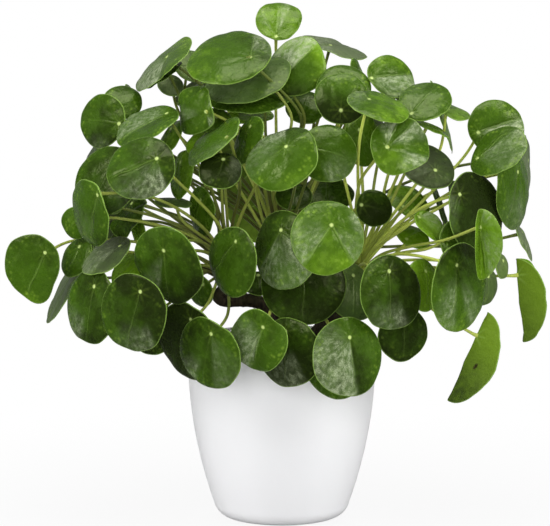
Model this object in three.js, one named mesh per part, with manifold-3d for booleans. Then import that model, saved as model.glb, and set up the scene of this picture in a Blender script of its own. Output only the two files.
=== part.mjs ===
// A potted Chinese money plant: round peltate leaves on long petioles, growing from five short
// woody stems that stand in the soil of a tapered white pot.
//
// Millimetres, +Z up. The origin is the centre of the pot's foot, on the surface it stands on, and
// -Y is the side that the plant is seen from. The leaves of that side are listed one by one, as the
// eye meets them from a fixed place: how far right and up of the pot's foot each petiole joins its
// blade, how near it is, and how the blade is turned. The leaves at the back follow a rule.

import * as THREE from "three";
import { mergeVertices } from "three/addons/utils/BufferGeometryUtils.js";
import Module from "manifold-3d";

const wasm = await Module();
wasm.setup();

// ---- Driving dimensions ------------------------------------------------------------------------

const POT_HEIGHT = 181;
const POT_RIM_RADIUS = 93.6;
const POT_BASE_RADIUS = 50; // where the bottom corner's arc begins
const POT_CORNER_RADIUS = 18.7;
const POT_CORNER_SWEEP = 78; // degrees of arc, from the flat bottom up to the side
const POT_BULGE = 8.2; // how far the side swells beyond a straight cone at half height
const POT_WALL = 3;
const POT_FLOOR = 4;
const POT_SIDES = 36;

const SOIL_TOP = 158;
const SOIL_LUMP = 2.2; // height of the crumbs over the level surface
const SOIL_SIDES = 24;
const SOIL_RINGS = 3;
const SEAT_GAP = 0.3; // clearance between pieces that touch

const TRUNK_DEPTH = 45; // how far a woody stem reaches into the soil
const TRUNK_SIDES = 8;
const TRUNK_RINGS = 7;
const STEM_SIDES = 8;

const BLADE_THICKNESS = 0.9;
const RIM_POINTS = 12;
const MID_POINTS = 6;
const RIM_SWELL = 1.02; // makes up for the flats between the rim's corners
const MID_SHARE = 0.55; // how far out the middle ring of a blade lies
const PETIOLE_RADIUS = 1.9; // to the corners of its three-sided section

const WELD = 0.08; // slivers smaller than this are left out where pieces grow together

const BLADE_CLEARANCE = 2.6; // between the middles of two blades
const PETIOLE_CLEARANCE = 3.6; // between a petiole's axis and a blade
const PETIOLE_SPACING = 4.9; // between two petioles' axes

// ---- The place that the plant is seen from -----------------------------------------------------

const EYE_DISTANCE = 2500;
const EYE_PITCH = 6; // degrees above the horizon
const AXIS_HEIGHT = 250; // a height on the pot's axis, and where that point is seen:
const AXIS_ACROSS = 281.75;
const AXIS_DOWN = 268.8;

const radians = THREE.MathUtils.degToRad;
const vec = (x, y, z) => new THREE.Vector3(x, y, z);

const RIGHT = vec(1, 0, 0);
const UP = vec(0, Math.sin(radians(EYE_PITCH)), Math.cos(radians(EYE_PITCH)));
const TO_EYE = vec(0, -Math.cos(radians(EYE_PITCH)), Math.sin(radians(EYE_PITCH)));

// The point seen a distance across and down the view, and moved near towards the eye.
function seen(across, down, near) {
  const scale = (EYE_DISTANCE - near) / EYE_DISTANCE;
  return vec(0, 0, AXIS_HEIGHT)
    .addScaledVector(RIGHT, (across - AXIS_ACROSS) * scale)
    .addScaledVector(UP, (AXIS_DOWN - down) * scale)
    .addScaledVector(TO_EYE, near);
}

// A direction in the view, clockwise from straight up.
const inView = (clock) => vec(0, 0, 0)
  .addScaledVector(RIGHT, Math.sin(radians(clock)))
  .addScaledVector(UP, Math.cos(radians(clock)));

// ---- The five plants: a woody stem each, with a green shoot on top -----------------------------

// root: where it leaves the soil. joint: where wood turns to green shoot. tip: the growing point.
const PLANTS = {
  left: { root: [-14, -4], knee: [-18, -8, 214], joint: [-58, -10, 229], tip: [-50, -6, 282] },
  top: { root: [2, 14], knee: [0, 16, 200], joint: [-4, 14, 240], tip: [0, 8, 310] },
  right: { root: [20, -2], knee: [44, -4, 196], joint: [68, -6, 222], tip: [82, -4, 276] },
  front: { root: [4, -26], knee: [8, -34, 190], joint: [10, -40, 216], tip: [14, -44, 262] },
  back: { root: [0, 42], knee: [4, 56, 190], joint: [8, 68, 222], tip: [10, 76, 284] },
};
const TRUNK_RADIUS = 7.5;
const SHOOT_RADIUS = 7;
const SHOOT_TIP_RADIUS = 4.5;

// ---- The leaves of the near side ---------------------------------------------------------------

// Each blade is a disc that is seen as an ellipse. across, down: the middle of the ellipse in the
// view. near: how much nearer the eye it is than the pot's axis. long, short: half the ellipse's
// axes; the short one is below zero where the underside is seen. faces: which way the blade's face
// turns from the eye, in degrees clockwise from straight up. seat: across and down of the place
// where the petiole joins. fold: how far each half is raised about the line from the seat to the
// middle. cup: how far the middle stands above the rim. wave: height of the rim's waves. slim:
// width over length. point: how far the rim runs out to a point, and which way that is. tuck: how
// far the petiole is held back from the eye, where other blades hide it. A plant's last rows are
// inner leaves, which show dark between the petioles.
const NEAR_LEAVES = {
  top: [
    [278.8, 20.8, -15, 23.5, 20.3, 0, 276, 38, 8, 3, 1],
    [229, 57, 74, 43.8, 28, 345, 251, 61, 0, 6, 1, 1, 0, 0, 90],
    [247, 77, 52, 44, 25, 344, 262, 73, -4, 6, 2],
    [293.5, 67, 30, 33, 29, 315, 281.5, 83.5, -16, 4, 0],
    [250, 92, 34, 44, 23, 357, 264, 90, 0, 6, 1],
    [343, 88, 60, 28, 25, 0, 344, 92, 0, 4, 0],
    [359, 76, 18, 19, 6, 75, 358, 72, 0, 3, 0],
    [279.5, 155, 152, 38.5, 30.5, 325, 287.5, 149, -12, 6, 1],
    [326.5, 153, 105, 30.5, 29.5, 0, 313, 150, 0, 5, 1],
    [216, 120, 60, 17, 14, 20, 216, 116, 0, 2, 0],
    [194, 109, 84, 26, 19, 280, 207, 112, 0, 5, 4, 1, 0, 0, 60],
    [294, 196, 20, 19, 14, 0, 294, 188, 0, 3, 0],
    [305, 107, 18, 20, 17, 0, 303, 115, 0, 3, 0],
    [363, 140, 45, 27, 20, 90, 357, 130, 0, 4, 0],
    [250, 115, -10, 24, 9, 0, 250, 117, 0, 3, 0],
  ],
  left: [
    [247.5, 140, 96, 26, 13, 290, 252, 127, 0, 4, 0],
    [213.5, 141.5, 102, 34, 12.5, 318, 227.5, 139, 0, 3, 1, 1, 0, 0, 50],
    [220, 170, 118, 22, 19, 0, 223, 160, 0, 4, 1],
    [198, 140, 72, 15, 10, 318, 205, 132, 0, 2, 0],
    [101.5, 120.5, 40, 28, 23, 275, 119.5, 124, 0, 4, 1],
    [148, 126.5, 72, 34, 17, 335, 167, 114, 8, 3, 0],
    [170, 137, 30, 20, 9, 300, 172, 130, 0, 3, 0],
    [140, 166, 120, 35.5, 32, 330, 157.5, 160, -13, 4, 1],
    [106.5, 180.5, 68, 37, 32, 300, 113, 168, 0, 5, 0],
    [89, 213, 95, 35, 19, 256, 101, 192, 0, 4, 0],
    [74.5, 223, 55, 16.5, 14, 250, 79, 217, 0, 3, 0],
    [110, 200, 60, 15, 11, 60, 106, 195, 0, 3, 0],
    [31, 264, 60, 33.5, 31.5, 250, 46, 252.5, 0, 3, 0, 1, 0.33, 167],
    [128, 216, 22, 24, 13, 300, 133, 204, 0, 3, 2],
    [137, 229, 5, 18, 8, 260, 138, 222, 0, 3, 0],
    [106, 255, 88, 29, 14, 328, 120.5, 247, 0, 3, 1],
    [61.5, 289, 26, 38, 9, 298, 72, 271, 0, 2, 0],
    [78, 258, 44, 21, 15, 300, 82, 248, 0, 3, 0],
    [90.5, 306, 96, 37.5, 27, 270, 96, 286, 0, 5, 0],
    [133, 312, 135, 40, 34, 255, 141.7, 291, 0, 5, 1],
    [167.5, 264.5, 125, 41, 31.5, 236, 165.5, 249, 0, 5, 1],
    [135, 270, 70, 27, 19, 330, 144, 262, 0, 3, 0],
    [231.8, 261.5, 130, 35.5, 24.5, 265, 237, 241, 0, 5, 1],
    [208.5, 353.5, 132, 38, 29, 246, 213, 332.5, 0, 5, 1],
    [189.5, 342, 98, 42, 30, 242, 193, 318, 0, 5, 0],
    [152, 328, 70, 28, 24, 270, 154, 312, 0, 4, 0],
    [173, 202, 40, 19, 5, 5, 176, 201, 0, 3, 0],
    [180, 174, 55, 25, 12, 280, 181, 162, 0, 3, 0],
    [201, 211, 20, 25, 13, 265, 203, 200, 0, 4, 0],
    [200, 291, 20, 17, 12, 250, 204, 284, 0, 3, 0],
  ],
  back: [
    [333.5, 46.5, -40, 35, 9.5, 17, 330, 48, 0, 3, 1],
    [192, 64, -20, 20, 16, 30, 188, 66, 0, 3, 0],
    [163, 63.5, 20, 37, 12.5, 316, 167.5, 59, 0, 3, 1],
    [165, 76, 4, 22, 5, 325, 168, 73, 0, 3, 0, 1, 0, 0, 42],
    [171, 85, -25, 13.5, 11, 20, 172, 80, 0, 3, 0],
    [123, 101.5, 8, 20, 17, 20, 118, 110, 0, 3, 0],
    [132, 101, -14, 18, 4, 75, 130, 96, 0, 3, 0],
    [526, 176, -22, 40, 8.5, 93, 527, 160, 0, 4, 0],
    [523.5, 240, -8, 23, 4.5, 65, 520.5, 233, 0, 3, 0],
    [327, 194, -66, 27, 19, 0, 327, 182, 0, 4, 0],
  ],
  front: [
    [283, 249.5, 140, 40.5, 32, 275, 283, 230, -6, 6, 0],
    [326.7, 237, 178, 37.5, 37, 0, 331, 225.5, -8, 6, 2],
    [303, 284, 108, 43, 40, 0, 303, 270, 0, 6, 0],
    [352, 291, 78, 31, 24, 60, 352, 276, 0, 4, 0],
    [258.5, 340, 152, 32.5, 28, 250, 264.5, 326, 4, 5, 3],
    [288.5, 352.5, 128, 35.5, 30.5, 265, 286.5, 331, 0, 5, 1],
    [350.5, 356.5, 152, 40.5, 36, 85, 348, 337, -12, 4, 0],
    [333, 367, 118, 34, 29, 240, 330, 348, 0, 4, 0],
    [374, 208, 58, 19, 18.5, 60, 361, 205, 0, 3, 0],
    [258, 283, 30, 15, 12, 0, 258, 276, 0, 3, 0],
  ],
  right: [
    [341.5, 98, 95, 27, 26.5, 0, 340.5, 111, 0, 5, 0],
    [391, 78.5, 45, 25.5, 21, 38, 370, 79, 12, 4, 0],
    [424.5, 100.5, 72, 27, 20.5, 350, 411, 114, 0, 4, 1],
    [453.5, 111, 50, 18, 7.5, 20, 447, 111, 0, 3, 0],
    [432, 128, 55, 20, 4, 25, 427, 126, 0, 3, 0],
    [442, 116, 5, 38, 4, 73, 439, 106, 0, 3, 0],
    [378, 106, 118, 32, 15.5, 17, 368, 101, 0, 3, 0],
    [400, 145.5, 138, 31, 29, 20, 386.5, 147.5, 8, 4, 5],
    [390.5, 292.5, 140, 37.5, 32, 85, 387, 271, 0, 5, 1],
    [424, 285, 92, 26.5, 18, 80, 424, 271, 0, 4, 0],
    [403, 333, 95, 28, 25, 95, 402, 320, 0, 5, 0],
    [459.5, 287, 120, 44, 30, 97, 453, 264.5, 0, 6, 0],
    [474, 212, 78, 42, 29.5, 80, 454.5, 194, 0, 6, 0],
    [463, 245, 90, 27, 22, 60, 447, 240, 0, 4, 0],
    [480.5, 243.5, 132, 35, 33, 90, 480.5, 227, 56, 0, 0, 0.78],
    [496, 127, 22, 28.5, 27.5, 0, 478, 133, 5, 4, 0],
    [499, 155, 62, 32, 19.5, 318, 479, 160, 10, 3, 0],
    [511, 191, 32, 39, 19.5, 92, 512.5, 172, 0, 5, 0],
    [521.5, 299.5, 40, 42.5, 0.5, 84, 517.5, 275, 68, 0, 0, 0.7],
    [469, 357.5, 60, 48, 0.5, 114, 478, 336, 68, 0, 0, 0.7],
    [502.5, 266, 55, 13, 7, 80, 501, 261, 0, 3, 0],
    [486, 287, 70, 19, 13, 100, 487, 276, 0, 3, 0],
    [429.5, 225.5, 100, 18.5, 12, 48, 420, 216, 20, 2, 0],
    [428, 166, 86, 28, 22, 25, 434, 172, 0, 4, 0],
    [409, 201, 0, 23, 15, 30, 402, 208, 0, 4, 0],
    [413, 236, -10, 18, 11, 20, 406, 240, 0, 3, 0],
  ],
};

// ---- The leaves of the far side, by rule -------------------------------------------------------

const FAR_COUNT = 19;
const FAR_TRIALS = 90;
const FAR_CENTRE = vec(0, 30, 285);
const FAR_REACH = vec(205, 205, 180); // radii of the dome that the far leaves lie on
const GOLDEN_TURN = 137.508;
const FAR_SEED = 22;
const LEFT_RISE = 0.2; // far leaves at the left below this angle, in radians, are the left plant's

// Places where light shows between the near leaves: across, down and radius in the view. Far
// leaves keep off them.
const SIGHT_GAPS = [
  [223, 313, 20], [272, 311, 8], [330, 316, 16], [177, 212, 30], [180, 143, 10], [152, 99, 12],
  [395, 180, 14], [375, 170, 12], [350, 172, 10], [430, 256, 18], [460, 160, 22],
  [460, 138, 16], [335, 62, 8], [287, 110, 10], [305, 190, 6], [513, 252, 18],
];

// A repeatable random number from 0 to 1 for each call.
function makeRandom(seed) {
  let state = seed;
  return () => {
    state = (state * 16807) % 2147483647;
    return state / 2147483647;
  };
}

// Where a point is seen, across and down the view.
function asSeen(point) {
  const from = point.clone().sub(vec(0, 0, AXIS_HEIGHT));
  const scale = EYE_DISTANCE / (EYE_DISTANCE - from.dot(TO_EYE));
  return [AXIS_ACROSS + from.dot(RIGHT) * scale, AXIS_DOWN - from.dot(UP) * scale];
}

// ---- Leaf frames -------------------------------------------------------------------------------

// out: from the middle of the blade to the petiole's seat, in the blade's plane.
function makeLeaf(middle, face, out, radius, plant, look) {
  const [fold = 0, cup = 4, wave = 0, slim = 1, point = 0, pointClock = 0, tuck = 0] = look;
  const tip = out.clone().negate().normalize();
  const side = tip.clone().cross(face).normalize();
  const pointWay = inView(pointClock);
  const pointAngle = Math.atan2(pointWay.dot(side), pointWay.dot(tip));
  const seat = THREE.MathUtils.clamp(out.length() / radius, 0.2, 0.86);
  return {
    middle, face, tip, side, radius, plant, seat, cup, wave, point, pointAngle, tuck,
    halfWidth: radius * slim, fold: radians(fold),
  };
}

function nearLeaf(row, plant) {
  const [across, down, near, long, short, faces, seatAcross, seatDown, ...look] = row;
  const turn = Math.acos(short / long);
  const leaning = inView(faces);
  const level = inView(faces + 90);
  const face = TO_EYE.clone().multiplyScalar(Math.cos(turn)).addScaledVector(leaning, Math.sin(turn));
  const inPlane = leaning.clone().multiplyScalar(Math.cos(turn)).addScaledVector(TO_EYE, -Math.sin(turn));
  const scale = (EYE_DISTANCE - near) / EYE_DISTANCE;
  const seatWay = vec(0, 0, 0)
    .addScaledVector(RIGHT, (seatAcross - across) * scale)
    .addScaledVector(UP, (down - seatDown) * scale);
  const foreshortened = seatWay.dot(leaning) / Math.max(Math.abs(short / long), 0.3);
  const out = level.clone().multiplyScalar(seatWay.dot(level))
    .addScaledVector(inPlane, Math.sign(short) * foreshortened);
  return makeLeaf(seen(across, down, near), face, out, long * scale, plant, look);
}

function farLeaves() {
  const random = makeRandom(FAR_SEED);
  const leaves = [];
  for (let i = 0; i < FAR_TRIALS && leaves.length < FAR_COUNT; i++) {
    const share = (i + 0.5) / FAR_TRIALS;
    const rise = Math.asin(0.98 * (1 - share) - 0.52 * share);
    const turn = radians((i * GOLDEN_TURN) % 190 - 5); // from +X round the back to -X
    const depth = 0.78 + 0.24 * random();
    const spin = radians(-35 + 70 * random());
    const radius = 28 + 15 * random();
    const tilt = radians(THREE.MathUtils.clamp(THREE.MathUtils.radToDeg(rise) + 8, 4, 72));
    const outward = vec(Math.cos(turn), Math.sin(turn), 0);
    const middle = outward.clone().multiplyScalar(Math.cos(rise)).setZ(Math.sin(rise))
      .multiply(FAR_REACH).multiplyScalar(depth).add(FAR_CENTRE);
    const [across, down] = asSeen(middle);
    if (SIGHT_GAPS.some(([x, y, r]) => Math.hypot(across - x, down - y) < r + 0.84 * radius)) continue;
    const face = outward.clone().multiplyScalar(Math.cos(tilt)).setZ(Math.sin(tilt));
    const rising = vec(0, 0, 1).addScaledVector(face, -face.z).normalize();
    const out = rising.applyAxisAngle(face, spin).multiplyScalar(0.46 * radius);
    const x = middle.x;
    const plant = x > 110 ? "right" : rise > 0.75 ? "top"
      : x < -110 && rise < LEFT_RISE ? "left" : "back";
    leaves.push(makeLeaf(middle, face, out, radius, plant, [0, 5, 1, 0.95]));
  }
  return leaves;
}

// ---- The shape of a blade ----------------------------------------------------------------------

// A place on the blade, as shares of its half length and half width: angle 0 is the tip, share 0
// the petiole's seat and 1 the rim.
function bladePlace(leaf, angle, share) {
  const turn = Math.cos(angle - leaf.pointAngle);
  const reach = 1 + leaf.point * Math.max(turn, 0) ** 8 - 0.3 * leaf.point;
  return [
    THREE.MathUtils.lerp(-leaf.seat, Math.cos(angle) * reach, share),
    Math.sin(angle) * reach * share,
  ];
}

// How far the blade stands off its own folded plane there.
function bladeHeight(leaf, u, v) {
  const reach = u * u + v * v;
  return leaf.cup * (1 - reach)
    + leaf.wave * Math.min(reach, 1.2) * Math.sin(3 * Math.atan2(v, u) + leaf.radius);
}

function bladePoint(leaf, angle, share, below = 0) {
  const [u, v] = bladePlace(leaf, angle, share);
  const across = v * leaf.halfWidth;
  const height = bladeHeight(leaf, u, v) + Math.abs(across) * Math.sin(leaf.fold);
  return leaf.middle.clone()
    .addScaledVector(leaf.tip, u * leaf.radius)
    .addScaledVector(leaf.side, across * Math.cos(leaf.fold))
    .addScaledVector(leaf.face, height - below);
}

const seatPoint = (leaf) => bladePoint(leaf, 0, 0);

// A point's place against a blade: along and across it, and its distance off the blade.
function againstBlade(leaf, point) {
  const from = point.clone().sub(leaf.middle);
  const along = from.dot(leaf.tip);
  const sideways = from.dot(leaf.side);
  const up = from.dot(leaf.face);
  const cos = Math.cos(leaf.fold), sin = Math.sin(leaf.fold);
  const width = Math.max(Math.abs(sideways) * cos + up * sin, 0);
  const across = sideways < 0 ? -width : width;
  const height = bladeHeight(leaf, along / leaf.radius, across / leaf.halfWidth);
  return { along, across, off: (up - height) * cos - Math.abs(sideways) * sin };
}

// How far out of the blade's middle a place is: under 1 it is over the blade.
const outwardness = (leaf, place, margin) =>
  Math.hypot(place.along / (leaf.radius + margin), place.across / (leaf.halfWidth + margin));

// ---- Blades are slid apart until none touches another ------------------------------------------

const BLADE_ROUNDS = 160;
const SIDE_SHARE = 0.12; // how readily a blade moves across the line of sight instead of along it

function bladeSamples(leaf) {
  const points = [seatPoint(leaf)];
  for (const share of [0.5, 1])
    for (let k = 0; k < RIM_POINTS; k++)
      points.push(bladePoint(leaf, (k / RIM_POINTS) * 2 * Math.PI, share));
  return points;
}

function slideBladesApart(leaves) {
  for (let round = 0; round < BLADE_ROUNDS; round++) {
    const samples = leaves.map(bladeSamples);
    const middles = samples.map((points) => {
      const sum = points.reduce((a, p) => a.add(p), vec(0, 0, 0));
      return sum.divideScalar(points.length);
    });
    const moves = leaves.map(() => vec(0, 0, 0));
    let worst = 0;
    leaves.forEach((a, i) => leaves.forEach((b, j) => {
      if (i === j || middles[i].distanceTo(middles[j]) > a.radius + b.radius + 4) return;
      const offs = samples[j].map((p) => againstBlade(a, p))
        .filter((place) => outwardness(a, place, 2) < 1)
        .map((place) => place.off);
      if (!offs.length) return;
      const sign = Math.sign(offs.reduce((x, y) => x + y, 0) + 1e-9);
      const short = BLADE_CLEARANCE - Math.min(...offs.map((off) => off * sign));
      if (short <= 0) return;
      worst = Math.max(worst, short);
      const push = a.face.clone().multiplyScalar(sign);
      const way = TO_EYE.clone().multiplyScalar(push.dot(TO_EYE) * (1 - SIDE_SHARE))
        .addScaledVector(push, SIDE_SHARE);
      way.multiplyScalar(0.3 * Math.min(short, 6) / way.dot(push));
      moves[j].add(way);
      moves[i].sub(way);
    }));
    leaves.forEach((leaf, i) => leaf.middle.add(moves[i].clampLength(0, 5)));
    if (worst < 0.2) break;
  }
}

// ---- Petioles ----------------------------------------------------------------------------------

const PETIOLE_STATIONS = 6;
const PETIOLE_ROUNDS = 220;
const BEND_KEPT = 0.24; // shares of what is wanting that one round makes good: of its own bend
const BLADE_PUSH = 0.5; // of the way off a blade's face
const RIM_PUSH = 0.6; // of the way out past a blade's rim
const APART_PUSH = 0.45; // of the way between two petioles, by each of them
const LONGEST_MOVE = 4; // of one place in one round
const NECK = 7; // the straight last stretch, square to the blade

// Where a petiole leaves its shoot: just under the skin, on the side that the leaf lies.
function rootPoint(leaf) {
  const { joint, tip } = PLANTS[leaf.plant];
  const axis = vec(...tip).sub(vec(...joint)).normalize();
  const root = vec(...joint).lerp(vec(...tip), leaf.rootShare);
  const out = seatPoint(leaf).sub(root);
  out.addScaledVector(axis, -out.dot(axis)).normalize();
  const shoot = THREE.MathUtils.lerp(SHOOT_RADIUS, SHOOT_TIP_RADIUS, leaf.rootShare);
  return root.addScaledVector(out, shoot - PETIOLE_RADIUS);
}

// The route before it is bent clear: out of the shoot, up and over, and square into the blade.
function firstRoute(leaf) {
  const root = rootPoint(leaf);
  const seat = seatPoint(leaf);
  const neck = seat.clone().addScaledVector(leaf.face, -NECK);
  const span = neck.distanceTo(root);
  const flat = neck.clone().sub(root).setZ(0).normalize();
  const lift = THREE.MathUtils.clamp(0.75 + 0.5 * (neck.z - root.z) / span, 0.3, 1.1);
  const rise = vec(0, 0, lift).add(flat.multiplyScalar(0.65)).normalize();
  const out = root.clone().addScaledVector(rise, 0.34 * span).addScaledVector(TO_EYE, -leaf.tuck);
  const back = neck.clone().addScaledVector(leaf.face, -0.3 * span).addScaledVector(TO_EYE, -leaf.tuck);
  const curve = new THREE.CubicBezierCurve3(root, out, back, neck);
  const points = curve.getPoints(PETIOLE_STATIONS - 2);
  return [...points, seat];
}

// The two nearest places on segments a-b and c-d, as shares of each, and the way between them.
function nearest(a, b, c, d) {
  const u = b.clone().sub(a), v = d.clone().sub(c), w = a.clone().sub(c);
  const uu = u.dot(u), uv = u.dot(v), vv = v.dot(v), uw = u.dot(w), vw = v.dot(w);
  const bottom = uu * vv - uv * uv;
  let s = bottom > 1e-9 ? THREE.MathUtils.clamp((uv * vw - vv * uw) / bottom, 0, 1) : 0;
  const t = THREE.MathUtils.clamp((uv * s + vw) / vv, 0, 1);
  s = THREE.MathUtils.clamp((uv * t - uw) / uu, 0, 1);
  return { s, t, way: w.addScaledVector(u, s).addScaledVector(v, -t) };
}

function bendPetiolesClear(leaves, routes) {
  const last = PETIOLE_STATIONS - 2; // the neck and the seat stay where they are
  const rest = routes.map((route) => route.map((p, k) =>
    k && k < last ? route[k - 1].clone().add(route[k + 1]).multiplyScalar(0.5).sub(p) : null));
  for (let round = 0; round < PETIOLE_ROUNDS; round++) {
    const moves = routes.map((route) => route.map(() => vec(0, 0, 0)));
    // Each keeps its own bend.
    routes.forEach((route, i) => {
      for (let k = 1; k < last; k++) {
        const bend = route[k - 1].clone().add(route[k + 1]).multiplyScalar(0.5).sub(route[k]);
        moves[i][k].addScaledVector(bend.sub(rest[i][k]), BEND_KEPT);
      }
    });
    // Each keeps off the blades, and goes round the rim of a blade in its way.
    routes.forEach((route, i) => leaves.forEach((leaf, j) => {
      const places = route.map((p) => againstBlade(leaf, p));
      const over = places.map((place) => outwardness(leaf, place, PETIOLE_CLEARANCE));
      if (Math.min(...over) > 1.6) return;
      for (let k = 1; k < last; k++) {
        const { off } = places[k];
        if (i !== j && over[k] < 1 && Math.abs(off) < PETIOLE_CLEARANCE) {
          const need = (PETIOLE_CLEARANCE - Math.abs(off)) * Math.sign(off + 1e-9);
          moves[i][k].addScaledVector(leaf.face, BLADE_PUSH * need);
        }
      }
      for (let k = 0; k < last; k++) {
        if (i === j || places[k].off * places[k + 1].off >= 0) continue;
        const share = places[k].off / (places[k].off - places[k + 1].off);
        const cross = {
          along: THREE.MathUtils.lerp(places[k].along, places[k + 1].along, share),
          across: THREE.MathUtils.lerp(places[k].across, places[k + 1].across, share),
        };
        const inside = outwardness(leaf, cross, PETIOLE_CLEARANCE);
        if (inside >= 1) continue;
        const out = leaf.tip.clone().multiplyScalar(cross.along)
          .addScaledVector(leaf.side, cross.across).normalize();
        const need = RIM_PUSH * ((1 - inside) * leaf.radius + 1);
        if (k > 0) moves[i][k].addScaledVector(out, need * (1 - share) + 0.3 * need);
        if (k + 1 < last) moves[i][k + 1].addScaledVector(out, need * share + 0.3 * need);
      }
    }));
    // Petioles keep off each other, except where they meet at their own shoot.
    for (let i = 0; i < routes.length; i++)
      for (let j = i + 1; j < routes.length; j++)
        for (let k = 0; k <= last; k++)
          for (let m = 0; m <= last; m++) {
            if (leaves[i].plant === leaves[j].plant && k + m < 3) continue;
            const a = routes[i][k], c = routes[j][m];
            if (a.distanceToSquared(c) > 60 * 60) continue;
            const { s, t, way } = nearest(a, routes[i][k + 1], c, routes[j][m + 1]);
            const gap = way.length();
            if (gap >= PETIOLE_SPACING || gap < 1e-6) continue;
            way.multiplyScalar(APART_PUSH * (PETIOLE_SPACING - gap) / gap);
            moves[i][k].addScaledVector(way, 1 - s);
            moves[i][k + 1].addScaledVector(way, s);
            moves[j][m].addScaledVector(way, t - 1);
            moves[j][m + 1].addScaledVector(way, -t);
          }
    routes.forEach((route, i) => {
      for (let k = 1; k < last; k++) {
        route[k].add(moves[i][k].clampLength(0, LONGEST_MOVE));
        clearOfRim(route[k]);
      }
    });
  }
}

const RIM_BERTH = 6; // how far petioles pass above the pot's rim
const [INSIDE_RIM, OUTSIDE_RIM] = [14, 10]; // the stretch beside the rim where they do so

function clearOfRim(point) {
  const radius = Math.hypot(point.x, point.y);
  if (radius > POT_RIM_RADIUS - INSIDE_RIM && radius < POT_RIM_RADIUS + OUTSIDE_RIM)
    point.z = Math.max(point.z, POT_HEIGHT + RIM_BERTH);
}

// Lower leaves join their shoot lower down.
function placeRoots(leaves) {
  for (const plant of Object.keys(PLANTS)) {
    const own = leaves.filter((leaf) => leaf.plant === plant);
    own.sort((a, b) => a.middle.z - b.middle.z);
    own.forEach((leaf, k) => {
      leaf.rootShare = 0.12 + 0.8 * (k / Math.max(own.length - 1, 1));
    });
  }
}

function layOut() {
  const leaves = Object.entries(NEAR_LEAVES)
    .flatMap(([plant, rows]) => rows.map((row) => nearLeaf(row, plant)));
  leaves.push(...farLeaves());
  slideBladesApart(leaves);
  placeRoots(leaves);
  const routes = leaves.map(firstRoute);
  bendPetiolesClear(leaves, routes);
  return { leaves, routes };
}

// ---- Solids ------------------------------------------------------------------------------------

function toSolid(geometry) {
  const bare = geometry.index ? geometry.toNonIndexed() : geometry.clone();
  bare.deleteAttribute("normal");
  bare.deleteAttribute("uv");
  const merged = mergeVertices(bare, 1e-4);
  return new wasm.Manifold(new wasm.Mesh({
    numProp: 3,
    vertProperties: merged.getAttribute("position").array,
    triVerts: new Uint32Array(merged.index.array),
  }));
}

function toGeometry(solid) {
  const mesh = solid.getMesh();
  return new THREE.BufferGeometry()
    .setAttribute("position", new THREE.BufferAttribute(mesh.vertProperties, 3))
    .setIndex(new THREE.BufferAttribute(mesh.triVerts, 1));
}

const unite = (solids) => wasm.Manifold.union(solids).simplify(WELD);

function meshFrom(points, triangles) {
  const geometry = new THREE.BufferGeometry().setFromPoints(points);
  geometry.setIndex(triangles.flat());
  return geometry;
}

// A leaf. The blade is a fan to the middle ring and a band to the rim, the same below, and a wall
// between the rims. The underside's fan opens round the three-sided petiole.
function leafGeometry(leaf, route) {
  const below = BLADE_THICKNESS / Math.cos(leaf.fold);
  const points = [];
  const triangles = [];
  for (const depth of [0, below]) {
    points.push(bladePoint(leaf, 0, 0, depth));
    for (let k = 0; k < MID_POINTS; k++)
      points.push(bladePoint(leaf, (k / MID_POINTS) * 2 * Math.PI, MID_SHARE, depth));
    for (let k = 0; k < RIM_POINTS; k++)
      points.push(bladePoint(leaf, (k / RIM_POINTS) * 2 * Math.PI, RIM_SWELL, depth));
  }
  const layer = points.length / 2;
  const mid = (k) => 1 + (k % MID_POINTS);
  const rim = (k) => 1 + MID_POINTS + (k % RIM_POINTS);
  const both = (a, b, c) => {
    triangles.push([a, b, c], [a + layer, c + layer, b + layer]);
  };
  for (let k = 0; k < MID_POINTS; k++) {
    triangles.push([0, mid(k + 1), mid(k)]);
    both(mid(k), rim(2 * k + 1), rim(2 * k));
    both(mid(k), mid(k + 1), rim(2 * k + 1));
    both(mid(k + 1), rim(2 * k + 2), rim(2 * k + 1));
  }
  for (let k = 0; k < RIM_POINTS; k++) {
    triangles.push([rim(k), rim(k + 1), rim(k + 1) + layer]);
    triangles.push([rim(k), rim(k + 1) + layer, rim(k) + layer]);
  }

  // The petiole, from the blade down to the shoot.
  const start = points.length;
  const corner = (ring, k) => start + 3 * ring + (k % 3);
  const stations = [...route].reverse();
  let [first, second] = [leaf.tip.clone(), leaf.side.clone()];
  stations.forEach((station, ring) => {
    const way = stations[Math.min(ring + 1, stations.length - 1)].clone()
      .sub(stations[Math.max(ring - 1, 0)]).normalize();
    if (ring) {
      first = first.clone().addScaledVector(way, -first.dot(way)).normalize();
      second = way.clone().cross(first);
    }
    const centre = ring ? station : points[layer];
    for (let k = 0; k < 3; k++) {
      const angle = (k / 3) * 2 * Math.PI;
      points.push(centre.clone()
        .addScaledVector(first, PETIOLE_RADIUS * Math.cos(angle))
        .addScaledVector(second, PETIOLE_RADIUS * Math.sin(angle)));
    }
  });
  for (let k = 0; k < 3; k++) {
    triangles.push([corner(0, k), layer + mid(2 * k), layer + mid(2 * k + 1)]);
    triangles.push([corner(0, k), layer + mid(2 * k + 1), corner(0, k + 1)]);
    triangles.push([corner(0, k + 1), layer + mid(2 * k + 1), layer + mid(2 * k + 2)]);
    for (let ring = 0; ring < stations.length - 1; ring++) {
      triangles.push([corner(ring, k), corner(ring, k + 1), corner(ring + 1, k + 1)]);
      triangles.push([corner(ring, k), corner(ring + 1, k + 1), corner(ring + 1, k)]);
    }
  }
  const end = stations.length - 1;
  triangles.push([corner(end, 0), corner(end, 1), corner(end, 2)]);
  points.splice(layer, 1); // the underside's own centre, now open
  return meshFrom(points, triangles.map((triangle) => triangle.map((k) => (k > layer ? k - 1 : k))));
}

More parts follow.
